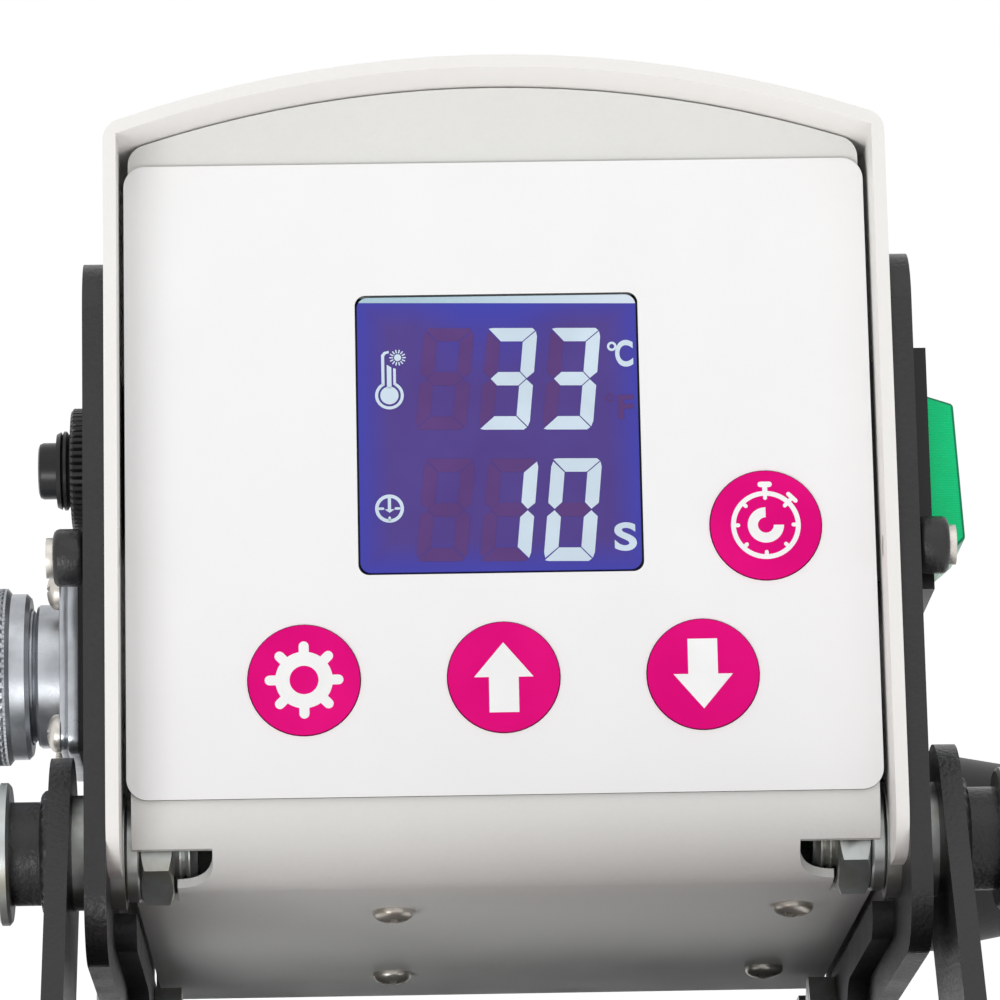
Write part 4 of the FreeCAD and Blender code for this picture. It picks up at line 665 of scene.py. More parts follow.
@dataclass
class ControlPanel:
    """The front panel: printed film, display and four keys."""

    head: HeadFrame
    finishes: Finishes
    window_middle: float = 62.1
    window_half: Flat = (19.5, 19.7)
    window_round: float = 1.5
    digit_width: float = 5.1
    digit_height: float = 12.7
    digit_pitch: float = 8.83
    stroke: float = 1.92
    slant: float = 0.09
    digit_left: float = -11.6
    row_foot: Flat = (62.55, 43.8)
    ink: float = 0.03
    ink_step: float = 0.005
    faint_step: float = 0.006
    lit_rise: float = 1.4
    sun_rays: int = 14
    pane_front: float = -0.45
    pane_gauge: float = 1.6
    key_front: float = -0.8
    strip_height: float = 1.05
    strip_slope: float = 0.0148
    lean: float = 0.0125
    keys: dict[str, Flat] = field(
        default_factory=lambda: {
            "settings": (-27.5, 27.4),
            "up": (0.0, 27.4),
            "down": (27.5, 27.4),
            "timer": (36.8, 48.3),
        }
    )

    def build(self) -> None:
        """Makes all the pieces of the panel."""
        self.bench = Bench(self.head.matrix())
        self.lit_front = self.pane_front - self.lit_rise * self.ink
        self._film()
        self._display()
        self._digits()
        self._symbols()
        self._icons()

    def _film(self) -> None:
        """Dresses the printed film, whose cut edge is painted dark grey as shade."""
        graph = Graph("printed_panel_film")
        # Faces that don't face the front, which make up the film's cut edge, get dark grey as painted shade;
        # the film itself is white.
        front = graph.facing(self.head.direction(0, -1, 0)).above(0.5, 0.2)
        grain = graph.noise(0.5, 3)
        cloud = graph.noise(15, 2)
        white = graph.blend(cloud.above(0.4, 0.4), srgb(245, 245, 245), srgb(247, 247, 247))
        material = graph.surface(
            Base_Color=graph.blend(front, srgb(92, 92, 90), white),
            Roughness=0.45 + 0.1 * (cloud - 0.5),
            Specular_IOR_Level=0.12,
            Normal=graph.bump(grain, 0.006),
        )
        for slot in bpy.data.objects["panel_overlay"].material_slots:
            slot.material = material
        log.info("panel_overlay: finished as printed_panel_film")

    def _display(self) -> None:
        """Makes the display's pane with its violet glow and the pale strip at its top, coloured as a painted
        sheen.
        """
        half_x, half_h = self.window_half
        outline = rounded_box((-half_x, self.window_middle - half_h), (half_x, self.window_middle + half_h),
                              self.window_round)
        pane = self.bench.sheet(outline, self.pane_front, self.pane_gauge)
        graph = Graph("display_glow")
        origin = self.head.point(0, 0, self.window_middle)
        across = graph.along(self.head.direction(1, 0, 0), origin)
        height = graph.along(self.head.direction(0, 0, 1), origin)
        edge = (abs(across) / half_x).greater(abs(height) / half_h)
        top = height.above(6.5, 12) * (1 - abs(across + 1).above(4, 7))
        cloud = graph.noise(9, 2)
        centre = graph.blend(cloud.above(0.35, 0.4), srgb(82, 64, 136), srgb(86, 70, 144))
        glow = graph.blend(edge.above(0.78, 0.22) * 0.85, centre, srgb(66, 70, 176))
        glow = graph.blend(top * 0.85, glow, srgb(68, 70, 174))
        strip = (height + across * self.strip_slope).above(half_h - self.strip_height, 0.08)
        # The strip's colour is a painted sheen of reflected light, paler towards the right.
        painted_sheen = graph.blend(across.above(-12, 30), srgb(172, 200, 212), srgb(216, 228, 240))
        colour = graph.blend(strip, glow, painted_sheen)
        material = graph.surface(Base_Color=colour, Roughness=0.35, Specular_IOR_Level=0.1)
        self.bench.settle(pane, "display_pane", "stand", material, "window", ("display_window",), 0)

    def _segment(self, name: str, left: float, foot: float) -> list[Flat]:
        """Gives the outline of one segment of a digit.

        Args:
            name: its usual letter, a to g.
            left: the digit's left edge at its foot.
            foot: the height of the digit's foot.

        Returns:
            Its corners as (x, h).
        """
        thick, gap = self.stroke, 0.1
        wide, tall = self.digit_width + thick, self.digit_height + thick
        middle = tall / 2
        half = thick / 2
        corner = 0.75
        shapes: dict[str, list[Flat]] = {
            "a": [(gap + 0.1, tall - corner * 0.15), (corner, tall), (wide - corner, tall),
                  (wide - corner * 0.45, tall - corner * 0.45), (wide - thick - gap, tall - thick),
                  (thick + gap, tall - thick)],
            "g": [(half + gap, middle), (thick + gap, middle + half),
                  (wide - thick - gap, middle + half), (wide - half - gap, middle),
                  (wide - thick - gap, middle - half), (thick + gap, middle - half)],
            "b": [(wide - corner * 0.3, tall - corner * 0.6), (wide, tall - corner * 1.6),
                  (wide, middle + half), (wide - half, middle + gap),
                  (wide - thick, middle + half + gap), (wide - thick, tall - thick - gap)],
        }
        if name in ("a", "g", "b"):
            points = shapes[name]
        elif name == "d":
            points = [(across, tall - height) for across, height in shapes["a"]]
        elif name == "c":
            points = [(across, tall - height) for across, height in shapes["b"]]
        elif name == "f":
            points = [(wide - across, height) for across, height in shapes["b"]]
        else:
            points = [(wide - across, tall - height) for across, height in shapes["b"]]
        placed = [(left + across + self.slant * height, foot + height) for across, height in points]
        return [(across + self.lean * (height - self.window_middle), height - self.lean * across)
                for across, height in placed]

    def _digits(self) -> None:
        """Makes the lit and the unlit segments of both rows."""
        rows = (("", "abcdg", "abcdg"), ("", "bc", "abcdef"))
        lit: list[bpy.types.Object] = []
        dark: list[bpy.types.Object] = []
        for foot, cells in zip(self.row_foot, rows):
            for place, letters in enumerate(cells):
                left = self.digit_left + place * self.digit_pitch
                for letter in "abcdefg":
                    outline = self._segment(letter, left, foot)
                    on = letter in letters
                    front = self.lit_front if on else self.pane_front - self.ink
                    shape = self.bench.sheet(outline, front, self.ink)
                    (lit if on else dark).append(shape)
        for name, shapes, look in (
            ("lit_segments", lit, Look.SEGMENT_LIT),
            ("unlit_segments", dark, Look.SEGMENT_OFF),
        ):
            self.bench.settle(self.bench.join(shapes), name, "stand", self.finishes.get(look),
                              "printed_film", (), 0)

    def _letter(self, text: str, left: float, foot: float, tall: float, wide: float) -> bpy.types.Object:
        """Makes one letter of the display as a thin solid.

        Args:
            text: the letter.
            left: its left edge.
            foot: the height of its foot.
            tall: its height.
            wide: its width.

        Returns:
            The letter.
        """
        self.bench.clear()
        bpy.ops.object.text_add()
        shape = bpy.context.object
        shape.data.body = text
        shape.data.extrude = 0.5
        shape.data.offset = 0.03
        bpy.ops.object.convert(target="MESH")
        shape = bpy.context.object
        corners = [vertex.co for vertex in shape.data.vertices]
        low = Vector([min(corner[axis] for corner in corners) for axis in range(3)])
        high = Vector([max(corner[axis] for corner in corners) for axis in range(3)])
        scale = (wide / (high.x - low.x), tall / (high.y - low.y))
        shape.data.transform(
            Matrix.Translation((left, self.lit_front, foot))
            @ Matrix.Rotation(math.pi / 2, 4, "X")
            @ Matrix.Diagonal((*scale, self.ink, 1))
            @ Matrix.Translation((-low.x, -low.y, -high.z))
        )
        return shape

    def _symbols(self) -> None:
        """Makes the display's small signs: thermometer, clock, degree signs and the letter for seconds."""
        bulb = (-15.12, 67.68)
        sun = (-13.9, 73.1)
        clock = (-15.36, 51.5)
        left, right = bulb[0] - 1.08, bulb[0] + 0.57
        lit = [
            band(bulb, 2.0, 1.58, 118, 422),
            arc(bulb, 1.28, 0, 354, 20),
            [(left, 69.3), (left + 0.43, 69.1), (left + 0.43, 73.3), (left + 0.65, 73.65), (bulb[0], 73.75),
             (bulb[0], 74.1), (left + 0.4, 73.95), (left, 73.5)],
            [(bulb[0] - 0.32, 68.7), (bulb[0] + 0.32, 68.7), (bulb[0] + 0.32, 71.7), (bulb[0] - 0.32, 72.1)],
            [(right, 69.2), (right + 0.37, 69.2), (right + 0.37, 71.5), (right, 71.6)],
            arc(sun, 0.5, 0, 345, 12),
            band(clock, 2.0, 1.52, 0, 180),
            band(clock, 2.0, 1.52, 180, 360),
            [(clock[0] - 0.23, 53.0), (clock[0] + 0.22, 53.0), (clock[0] + 0.22, 51.4),
             (clock[0] + 0.72, 51.4), (clock[0], 50.9), (clock[0] - 0.68, 51.4), (clock[0] - 0.23, 51.4)],
            bar((clock[0] - 1.4, 51.5), (clock[0] - 0.9, 51.5), 0.35),
            bar((clock[0] + 0.87, 51.5), (clock[0] + 1.32, 51.5), 0.35),
            bar((clock[0], 50.2), (clock[0], 49.9), 0.35),
        ]
        for ray in range(self.sun_rays):
            angle = math.tau * ray / self.sun_rays
            reach = [
                (sun[0] + length * math.cos(angle), sun[1] + length * math.sin(angle))
                for length in (0.65, 1.15)
            ]
            lit.append(bar(reach[0], reach[1], 0.17, False))
        shapes = [self.bench.sheet(outline, self.lit_front, self.ink) for outline in lit]
        for half in (0, 180):
            ring = band((16.05, 74.3), 0.67, 0.34, half, half + 180)
            shapes.append(self.bench.sheet(ring, self.lit_front - self.ink_step, self.ink))
        shapes += [self._letter("C", 16.5, 71.35, 3.85, 2.5), self._letter("S", 15.75, 45.0, 4.05, 3.1)]
        self.bench.settle(self.bench.join(shapes), "lit_signs", "stand", self.finishes.get(Look.SEGMENT_LIT),
                          "printed_film", (), 0)
        faint = [self._letter("F", 16.7, 63.8, 3.5, 2.2)]
        for half in (0, 180):
            ring = band((15.6, 66.9), 0.6, 0.32, half, half + 180)
            faint.append(self.bench.sheet(ring, self.lit_front + self.faint_step, self.ink))
        self.bench.settle(self.bench.join(faint), "unlit_signs", "stand", self.finishes.get(Look.SEGMENT_OFF),
                          "printed_film", (), 0)

    def _icons(self) -> None:
        """Prints the signs on the keys."""
        front = self.key_front - self.ink
        arrow = [(-2.05, -4.95), (2.05, -4.95), (2.05, 0), (4.1, 0), (0, 4.85), (-4.1, 0), (-2.05, 0)]
        watch = [
            (band((0, 0), 4.84, 4.17, 0, 180), 0),
            (band((0, 0), 4.84, 4.17, 180, 360), 0),
            (band((0, 0), 2.51, 1.1, 90, 360), 0),
            (bar((0, 4.6), (0, 5.6), 0.7, False), 1),
            (bar((-0.6, 5.78), (0.6, 5.78), 0.78), 2),
            (bar((3.1, 3.1), (3.75, 3.85), 0.55, False), 1),
            (bar((3.25, 4.35), (4.22, 3.4), 0.6), 2),
        ]
        for tick in range(8):
            angle = math.radians(45 * tick)
            reach = [(length * math.cos(angle), length * math.sin(angle)) for length in (4.3, 3.84)]
            watch.append((bar(reach[0], reach[1], 0.55), 3))
        signs = {
            "settings": [(outline, 0) for outline in self._gear()],
            "up": [(arrow, 0)],
            "down": [([(-a, -h) for a, h in arrow], 0)],
            "timer": watch,
        }
        for key, outlines in signs.items():
            across, height = self.keys[key]
            shapes = [
                self.bench.sheet([(across + a, height + h) for a, h in outline],
                                 front - self.ink_step * layer, self.ink)
                for outline, layer in outlines
            ]
            self.bench.settle(self.bench.join(shapes), f"{key}_sign", f"key_{key}",
                              self.finishes.get(Look.ICON_INK), "printed_film", (), 0)

    def _gear(self) -> list[list[Flat]]:
        """Gives both halves of the eight-toothed wheel on the settings key."""
        body, hole, tooth, reach = 3.96, 2.0, 0.69, 4.73
        spread = math.degrees(math.asin(tooth / body))
        halves: list[list[Flat]] = []
        for start in (22.5, 202.5):
            outline: list[Flat] = []
            for place in range(4):
                middle = start + 22.5 + 45 * place
                tip = (reach * math.cos(math.radians(middle)), reach * math.sin(math.radians(middle)))
                outline += arc((0, 0), body, middle - 22.5, middle - spread, 3)
                outline += arc(tip, tooth, middle - 90, middle + 90, 8)
                outline += arc((0, 0), body, middle + spread, middle + 22.5, 3)[:3]
            outline += arc((0, 0), body, start + 180, start + 180, 1)[:1]
            halves.append(outline + arc((0, 0), hole, start + 180, start, 20))
        return halves


@dataclass
class Hardware:
    """Bolts, nuts, washers and screws of the head."""

    head: HeadFrame
    finishes: Finishes
    bolt_radius: float = 4.0
    pitch: float = 1.25
    thread_depth: float = 0.62
    thread_start: float = 42.6
    thread_end: float = 54.0
    bolt_end: float = 70.0
    nut_span: Flat = (45.9, 50.4)
    nut_across: float = 13.0
    spring_span: Flat = (50.4, 52.5)
    spring_radius: float = 7.0
    slit_slant_deg: float = 25.0
    slit_turn_deg: float = 20.0
    screw_radius: float = 2.9
    screw_rise: float = 1.35
    outer_span: Flat = (68.3, 70.0)
    outer_radius: float = 9.9
    head_span: float = 5.3
    screw_spots: tuple[Flat, ...] = ((-15.6, 30.0), (41.2, 30.0), (-15.6, 91.0), (41.2, 91.0))

    def build(self) -> None:
        """Makes all the fastenings."""
        self.bench = Bench(self.head.matrix())
        self.axis: Point = (0, self.head.pivot_depth, self.head.pivot_height)
        self.mirror = Matrix.Diagonal((-1, 1, 1, 1))
        self._bolts()
        self._nuts()
        self._washers()
        self._underside_screws()

    def _pair(self, shape: bpy.types.Object, name: str, node: str) -> None:
        """Mirrors a piece to the other side and settles both as one."""
        twin = self.bench.copy(shape, self.mirror)
        self.bench.settle(self.bench.join([shape, twin]), name, "stand", self.finishes.get(Look.ZINC),
                          "zinc_steel", (node,))

    def _bolts(self) -> None:
        """Makes the pivot bolts with cut threads and six-sided heads."""
        root = self.bolt_radius - self.thread_depth
        profile: list[Flat] = [
            (self.thread_start, 0), (self.thread_start, root - 0.2), (self.thread_start + 0.5, root)
        ]
        turn = self.thread_start + 0.5
        while turn + self.pitch < self.thread_end:
            profile += [
                (turn + self.pitch * 0.42, self.bolt_radius),
                (turn + self.pitch * 0.58, self.bolt_radius),
                (turn + self.pitch, root),
            ]
            turn += self.pitch
        profile += [
            (self.thread_end, self.bolt_radius), (self.bolt_end, self.bolt_radius), (self.bolt_end, 0)
        ]
        bolt = self.bench.lathe(profile, self.axis, 48)
        crown = self._hexagon(self.bolt_end, self.bolt_end + self.head_span, True)
        self._pair(self.bench.join([bolt, crown]), "threaded_bolts", "pivot_bolts")

    def _hexagon(self, start: float, end: float, one_sided: bool) -> bpy.types.Object:
        """Makes a six-sided head or nut with turned corners.

        Args:
            start: its near end.
            end: its far end.
            one_sided: whether only the far end has its corners turned off.

        Returns:
            The shape, not yet bored.
        """
        self.bench.clear()
        outer = self.nut_across / math.sqrt(3)
        bpy.ops.mesh.primitive_cylinder_add(vertices=6, radius=outer, depth=end - start)
        shape = bpy.context.object
        shape.data.transform(Matrix.Translation(((start + end) / 2, self.axis[1], self.axis[2]))
                             @ Matrix.Rotation(math.radians(30), 4, "X")
                             @ Matrix.Rotation(math.pi / 2, 4, "Y"))
        inner = self.nut_across / 2
        chamfer = (outer - inner) * 0.62
        near = 0.0 if one_sided else chamfer
        profile = [(start, 0), (start, inner - 0.1 if near else outer + 1), (start + near, outer + 0.02),
                   (end - chamfer, outer + 0.02), (end, inner - 0.1), (end, 0)]
        if one_sided:
            profile = [(start, 0), (start, outer + 1), (end - chamfer, outer + 1),
                       (end - chamfer, outer + 0.02), (end, inner - 0.1), (end, 0)]
        cone = self.bench.lathe(profile, self.axis, 48)
        self.bench.apply(shape, "BOOLEAN", operation="INTERSECT", object=cone, solver="EXACT")
        bpy.data.objects.remove(cone)
        self.bench.bevel(shape, 0.12, 2, 40)
        return shape

    def _nuts(self) -> None:
        """Makes the thin nuts on the bolts."""
        nut = self._hexagon(self.nut_span[0], self.nut_span[1], False)
        hole = self.bolt_radius + 0.02
        bore = self.bench.lathe([(40, 0), (40, hole), (56, hole), (56, 0)], self.axis, 40)
        self.bench.cut(nut, bore)
        self._pair(nut, "six_sided_nuts", "pivot_nuts")

    def _washers(self) -> None:
        """Makes the split spring washers and the large outer washers."""
        start, end = self.spring_span
        bore = self.bolt_radius + 0.1
        rim = self.spring_radius
        ring = self.bench.lathe([(start + 0.1, bore), (start + 0.1, rim - 0.3), (start + 0.35, rim),
                                 (end - 0.35, rim), (end - 0.1, rim - 0.3), (end - 0.1, bore),
                                 (start + 0.1, bore)], self.axis, 56)
        slant = math.radians(self.slit_slant_deg)
        slit = self.bench.block((start - 1, self.axis[1] - 0.5, self.axis[2] - 9),
                                (end + 1, self.axis[1] + 0.5, self.axis[2] - 2))
        slit.data.transform(
            Matrix.Translation(self.axis) @ Matrix.Rotation(math.radians(self.slit_turn_deg), 4, "X")
            @ Matrix.Rotation(slant, 4, "Z") @ Matrix.Translation(-Vector(self.axis))
        )
        middle = (start + end) / 2
        shift = (middle * (1 - math.cos(slant)), -middle * math.sin(slant), 0)
        slit.data.transform(Matrix.Translation(shift))
        self.bench.cut(ring, slit)
        self._pair(ring, "split_washers", "pivot_spring_washers")
        start, end = self.outer_span
        rim = self.outer_radius
        plate = self.bench.lathe([(start, bore), (start, rim - 0.5), (start + 0.4, rim), (end - 0.3, rim),
                                  (end, rim - 0.5), (end, bore), (start, bore)], self.axis, 64)
        self._pair(plate, "large_washers", "pivot_outer_washers")

    def _underside_screws(self) -> None:
        """Makes the pan-head screws with cross recesses under the head."""
        shapes: list[bpy.types.Object] = []
        radius = self.screw_radius
        for across, depth in self.screw_spots:
            head: list[Flat] = [(-0.02, 0), (-0.02, radius), (-0.5, radius)]
            head += dome(-0.5, radius, -self.screw_rise)
            screw = self.bench.lathe(head, (across, depth, 0), 32, "H")
            for turn in (20, 110):
                slot = self.bench.block((-1.9, -0.5, -3.5), (1.9, 0.5, -0.7))
                slot.data.transform(Matrix.Translation((across, depth, 0))
                                    @ Matrix.Rotation(math.radians(turn + across), 4, "Z"))
                self.bench.cut(screw, slot)
            shapes.append(screw)
        self.bench.settle(self.bench.join(shapes), "cross_head_screws", "stand",
                          self.finishes.get(Look.BRIGHT_SCREW), "zinc_steel", ("underside_screws",))


@dataclass
class LeftFittings:
    """The circuit breaker and the round connector on the left side plate."""

    head: HeadFrame
    finishes: Finishes
    plate_face: float = 57.5
    connector: Flat = (25.0, 33.6)
    breaker: Flat = (14.0, 61.0)
    ring_span: Flat = (66.3, 79.0)
    knurl_count: int = 54
    knurl_depth: float = 0.42
    knurl_rows: int = 26
    flange_half: float = 13.25
    screw_reach: float = 10.2
    screw_radius: float = 2.7
    screw_rise: float = 1.4

    def build(self) -> None:
        """Makes all the fittings."""
        self.bench = Bench(self.head.matrix())
        self._coupling_ring()
        self._socket()
        self._plug()
        self._breaker()

    def _knurl(self, shape: bpy.types.Object, centre: Flat, span: Flat, radius: float, diamond: bool) -> None:
        """Presses a knurl into the outer wall of a turned piece.

        Args:
            shape: the piece.
            centre: its axis as (d, h).
            span: where the knurl runs along x.
            radius: the wall's radius.
            diamond: whether the teeth cross; otherwise they run straight.
        """
        for vertex in shape.data.vertices:
            across = abs(vertex.co.x)
            arm = Vector((vertex.co.y - centre[0], vertex.co.z - centre[1]))
            if not span[0] < across < span[1] or arm.length < radius - 0.05:
                continue
            angle = math.atan2(arm.y, arm.x) * self.knurl_count
            run = (across - span[0]) * self.knurl_count / radius if diamond else 0.0
            groove = min(abs(math.sin((angle + run) / 2)), abs(math.sin((angle - run) / 2)))
            drop = self.knurl_depth * (1 - min(groove * 1.7, 1))
            arm *= (arm.length - drop) / arm.length
            vertex.co.y, vertex.co.z = centre[0] + arm.x, centre[1] + arm.y

    def _turned(self, profile: list[Flat], centre: Flat, steps: int = 64) -> bpy.types.Object:
        """Turns a profile on the left side, with its places counted outwards from the middle of the head."""
        return self.bench.lathe([(-place, radius) for place, radius in profile], (0, *centre), steps)

    def _coupling_ring(self) -> None:
        """Makes the knurled ring that locks the plug."""
        start, end = self.ring_span
        grip = start + 3.0
        profile: list[Flat] = [
            (start, 9.75), (start, 11.2), (start + 0.6, 11.8), (grip - 0.3, 11.8), (grip, 12.2)
        ]
        knurl_end = end - 0.6
        profile += [
            (grip + 0.3 + (knurl_end - grip - 0.3) * row / self.knurl_rows, 12.6)
            for row in range(self.knurl_rows + 1)
        ]
        profile += [(end, 12.1), (end, 8.66), (end - 2.3, 8.66), (end - 2.3, 9.75), (start, 9.75)]
        ring = self._turned(profile, self.connector, 216)
        self._knurl(ring, self.connector, (grip + 0.3, knurl_end), 12.6, True)
        self.bench.settle(ring, "knurled_ring", "locking_ring", self.finishes.get(Look.NICKEL), "nickel",
                          ("coupling_ring",))

    def _socket(self) -> None:
        """Makes the socket with its stepped square flange, its thread and its screws."""
        depth, height = self.connector
        face = self.plate_face
        side = self.flange_half
        base = self.bench.block((-face - 3.2, depth - side, height - side),
                                (-face - 1.6, depth + side, height + side))
        self._round_corners(base, 2.6)
        self.bench.bevel(base, 0.25, 2, 50)
        step = self.bench.block((-face - 4.4, depth - side + 0.7, height - side + 0.7),
                                (-face - 3.15, depth + side - 0.7, height + side - 0.7))
        self._round_corners(step, 2.2)
        self.bench.bevel(step, 0.3, 2, 50)
        start = face + 4.3
        profile: list[Flat] = [(start - 0.3, 0), (start - 0.3, 10.2), (start + 3.2, 10.2), (start + 3.6, 9.9),
                               (start + 3.6, 9.2)]
        turn = start + 3.8
        while turn < start + 12:
            profile += [(turn, 9.0), (turn + 0.35, 9.45), (turn + 0.65, 9.45), (turn + 1.0, 9.0)]
            turn += 1.0
        profile += [(start + 12.2, 9.0), (start + 12.2, 0)]
        barrel = self._turned(profile, self.connector)
        self.bench.settle(self.bench.join([base, step, barrel]), "stepped_socket", "stand",
                          self.finishes.get(Look.NICKEL), "nickel", ("connector_socket",))
        screws: list[bpy.types.Object] = []
        radius = self.screw_radius
        for across in (-self.screw_reach, self.screw_reach):
            for up in (-self.screw_reach, self.screw_reach):
                head: list[Flat] = [(face + 4.3, 0), (face + 4.3, radius), (face + 4.8, radius)]
                head += dome(face + 4.8, radius, self.screw_rise)
                screw = self._turned(head, (depth + across, height + up), 28)
                slot = self.bench.block((-face - 8, depth + across - 2.1, height + up - 0.3),
                                        (-face - 5.3, depth + across + 2.1, height + up + 0.3))
                self.bench.cut(screw, slot)
                screws.append(screw)
        self.bench.settle(self.bench.join(screws), "slotted_screws", "stand",
                          self.finishes.get(Look.BRIGHT_SCREW), "nickel", ("connector_screws",))

    def _round_corners(self, shape: bpy.types.Object, radius: float) -> None:
        """Rounds the four corners of a plate that lies across x."""
        self.bench.clear()
        shape.select_set(True)
        bpy.context.view_layer.objects.active = shape
        bpy.ops.object.mode_set(mode="EDIT")
        bpy.ops.mesh.select_mode(type="EDGE")
        mesh = bmesh.from_edit_mesh(shape.data)
        for edge in mesh.edges:
            ends = [vertex.co for vertex in edge.verts]
            edge.select_set(abs(ends[0].x - ends[1].x) > 1e-4)
        bmesh.update_edit_mesh(shape.data)
        bpy.ops.mesh.bevel(offset=radius, segments=6)
        bpy.ops.mesh.select_mode(type="VERT")
        bpy.ops.object.mode_set(mode="OBJECT")

    def _plug(self) -> None:
        """Makes the plug's back shell with its cable clamp."""
        end = self.ring_span[1]
        profile: list[Flat] = [
            (end - 5, 0), (end - 5, 8.4), (end + 2, 8.4), (end + 2, 9.2), (end + 2.4, 9.6), (end + 8.6, 9.6),
            (end + 9.4, 9.2), (end + 11, 7.6), (end + 11.5, 7.4), (end + 14.6, 7.4), (end + 15, 7.0),
            (end + 15, 3.2), (end + 5, 3.2), (end + 5, 0),
        ]
        plug = self._turned(profile, self.connector)
        self.bench.settle(plug, "plug_shell", "stand", self.finishes.get(Look.NICKEL), "nickel",
                          ("connector_plug",))

    def _breaker(self) -> None:
        """Makes the breaker's ribbed nut, threaded neck and push button."""
        face = self.plate_face
        outline: list[Flat] = [
            (face, 5.65), (face, 8.2), (face + 0.4, 8.8), (face + 0.8, 8.8), (face + 1.5, 8.8),
            (face + 2.1, 8.8), (face + 2.5, 8.3), (face + 2.5, 5.65), (face, 5.65),
        ]
        nut = self._turned(outline, self.breaker, 216)
        self._knurl(nut, self.breaker, (face + 0.3, face + 2.2), 8.8, False)
        self.bench.settle(nut, "ribbed_nut", "stand", self.finishes.get(Look.BLACK_PLASTIC), "black_plastic",
                          ("breaker_nut",))
        profile: list[Flat] = [
            (51.2, 4.15), (51.2, 5.5), (face + 2.6, 5.5), (face + 2.9, 5.1), (face + 3.2, 5.6),
            (face + 3.6, 5.6), (face + 3.8, 5.1), (face + 4.0, 5.5), (face + 4.6, 5.2),
            (face + 4.6, 4.15), (51.2, 4.15),
        ]
        neck = self._turned(profile, self.breaker)
        case = self.bench.block((-52.6, self.breaker[0] - 8, self.breaker[1] - 11),
                                (-32.8, self.breaker[0] + 8, self.breaker[1] + 11))
        self.bench.bevel(case, 0.8)
        self.bench.settle(self.bench.join([neck, case]), "threaded_neck", "stand",
                          self.finishes.get(Look.BLACK_PLASTIC), "black_plastic", ("breaker_body",))
        rise = face + 7.2
        button = self._turned(
            [(51, 0), (51, 4.0), (rise - 0.7, 4.0), (rise - 0.2, 3.8), (rise, 3.3), (rise, 0)], self.breaker
        )
        self.bench.settle(button, "push_button", "reset_button", self.finishes.get(Look.BLACK_PLASTIC),
                          "black_plastic", ("breaker_button",))


@dataclass
class RightFittings:
    """The rocker switch and the cable gland on the right side plate."""

    head: HeadFrame
    finishes: Finishes
    rocker_depth: float = 14.0
    gland: Flat = (50.0, 10.6)
    half_wide: float = 9.4
    rib_pitch: float = 0.33
    profile: tuple[Flat, ...] = (
        (53.5, 44.0), (57.8, 43.4), (62.5, 45.0), (65.1, 47.2), (64.1, 66.6), (59.0, 68.3), (53.5, 68.5)
    )

    def build(self) -> None:
        """Makes both fittings."""
        self.bench = Bench(self.head.matrix())
        self._rocker()
        self._gland()

    def _rocker(self) -> None:
        """Makes the see-through rocker with its ribbed inside, darker walls and a painted glow."""
        shape = self.bench.sheet(list(self.profile), self.rocker_depth - self.half_wide, 2 * self.half_wide)
        self.bench.bevel(shape, 0.45, 3)
        graph = Graph("green_lens")
        up = graph.along(self.head.direction(0, 0, 1), self.head.point(0, 0, 0))
        lines = (up * (math.tau / self.rib_pitch)).sine()
        flank = abs(graph.facing(self.head.direction(0, 1, 0))).above(0.9, 0.08)
        cloud = graph.noise(6, 2)
        wall = graph.blend(cloud, srgb(0, 92, 62), srgb(0, 120, 80))
        lit = graph.blend(cloud.above(0.3, 0.5), srgb(0, 196, 118), srgb(6, 206, 130))
        ribbed = graph.blend((lines * 0.5 + 0.5) * 0.25, lit, srgb(0, 150, 92))
        colour = graph.blend(flank, wall, ribbed)
        # The weak emission is a painted glow: it stands in for light shining through the rocker, which has no
        # lamp, and lifts it out of the side plate's shade.
        material = graph.surface(
            Base_Color=colour, Roughness=0.2, Specular_IOR_Level=0.15,
            Emission_Color=colour, Emission_Strength=0.3,
            Normal=graph.bump(lines * flank, 0.03),
        )
        self.bench.settle(shape, "green_rocker", "rocker", material, "green_rocker", ("power_rocker",))

    def _gland(self) -> None:
        """Makes the cable gland with its clamping nut."""
        profile: list[Flat] = [
            (46.7, 4.2), (46.7, 8), (57.5, 8), (57.5, 14.2), (58, 14.6), (63.4, 14.6), (64, 14.3),
            (74.5, 12.4), (75.5, 12.1), (84.2, 8.6), (85.2, 7.8), (85.5, 7.2), (85.5, 4.2), (46.7, 4.2),
        ]
        shape = self.bench.lathe(profile, (0, *self.gland), 72)
        self.bench.settle(shape, "tapered_gland", "stand", self.finishes.get(Look.GLAND_PLASTIC),
                          "black_plastic", ("mains_gland",))


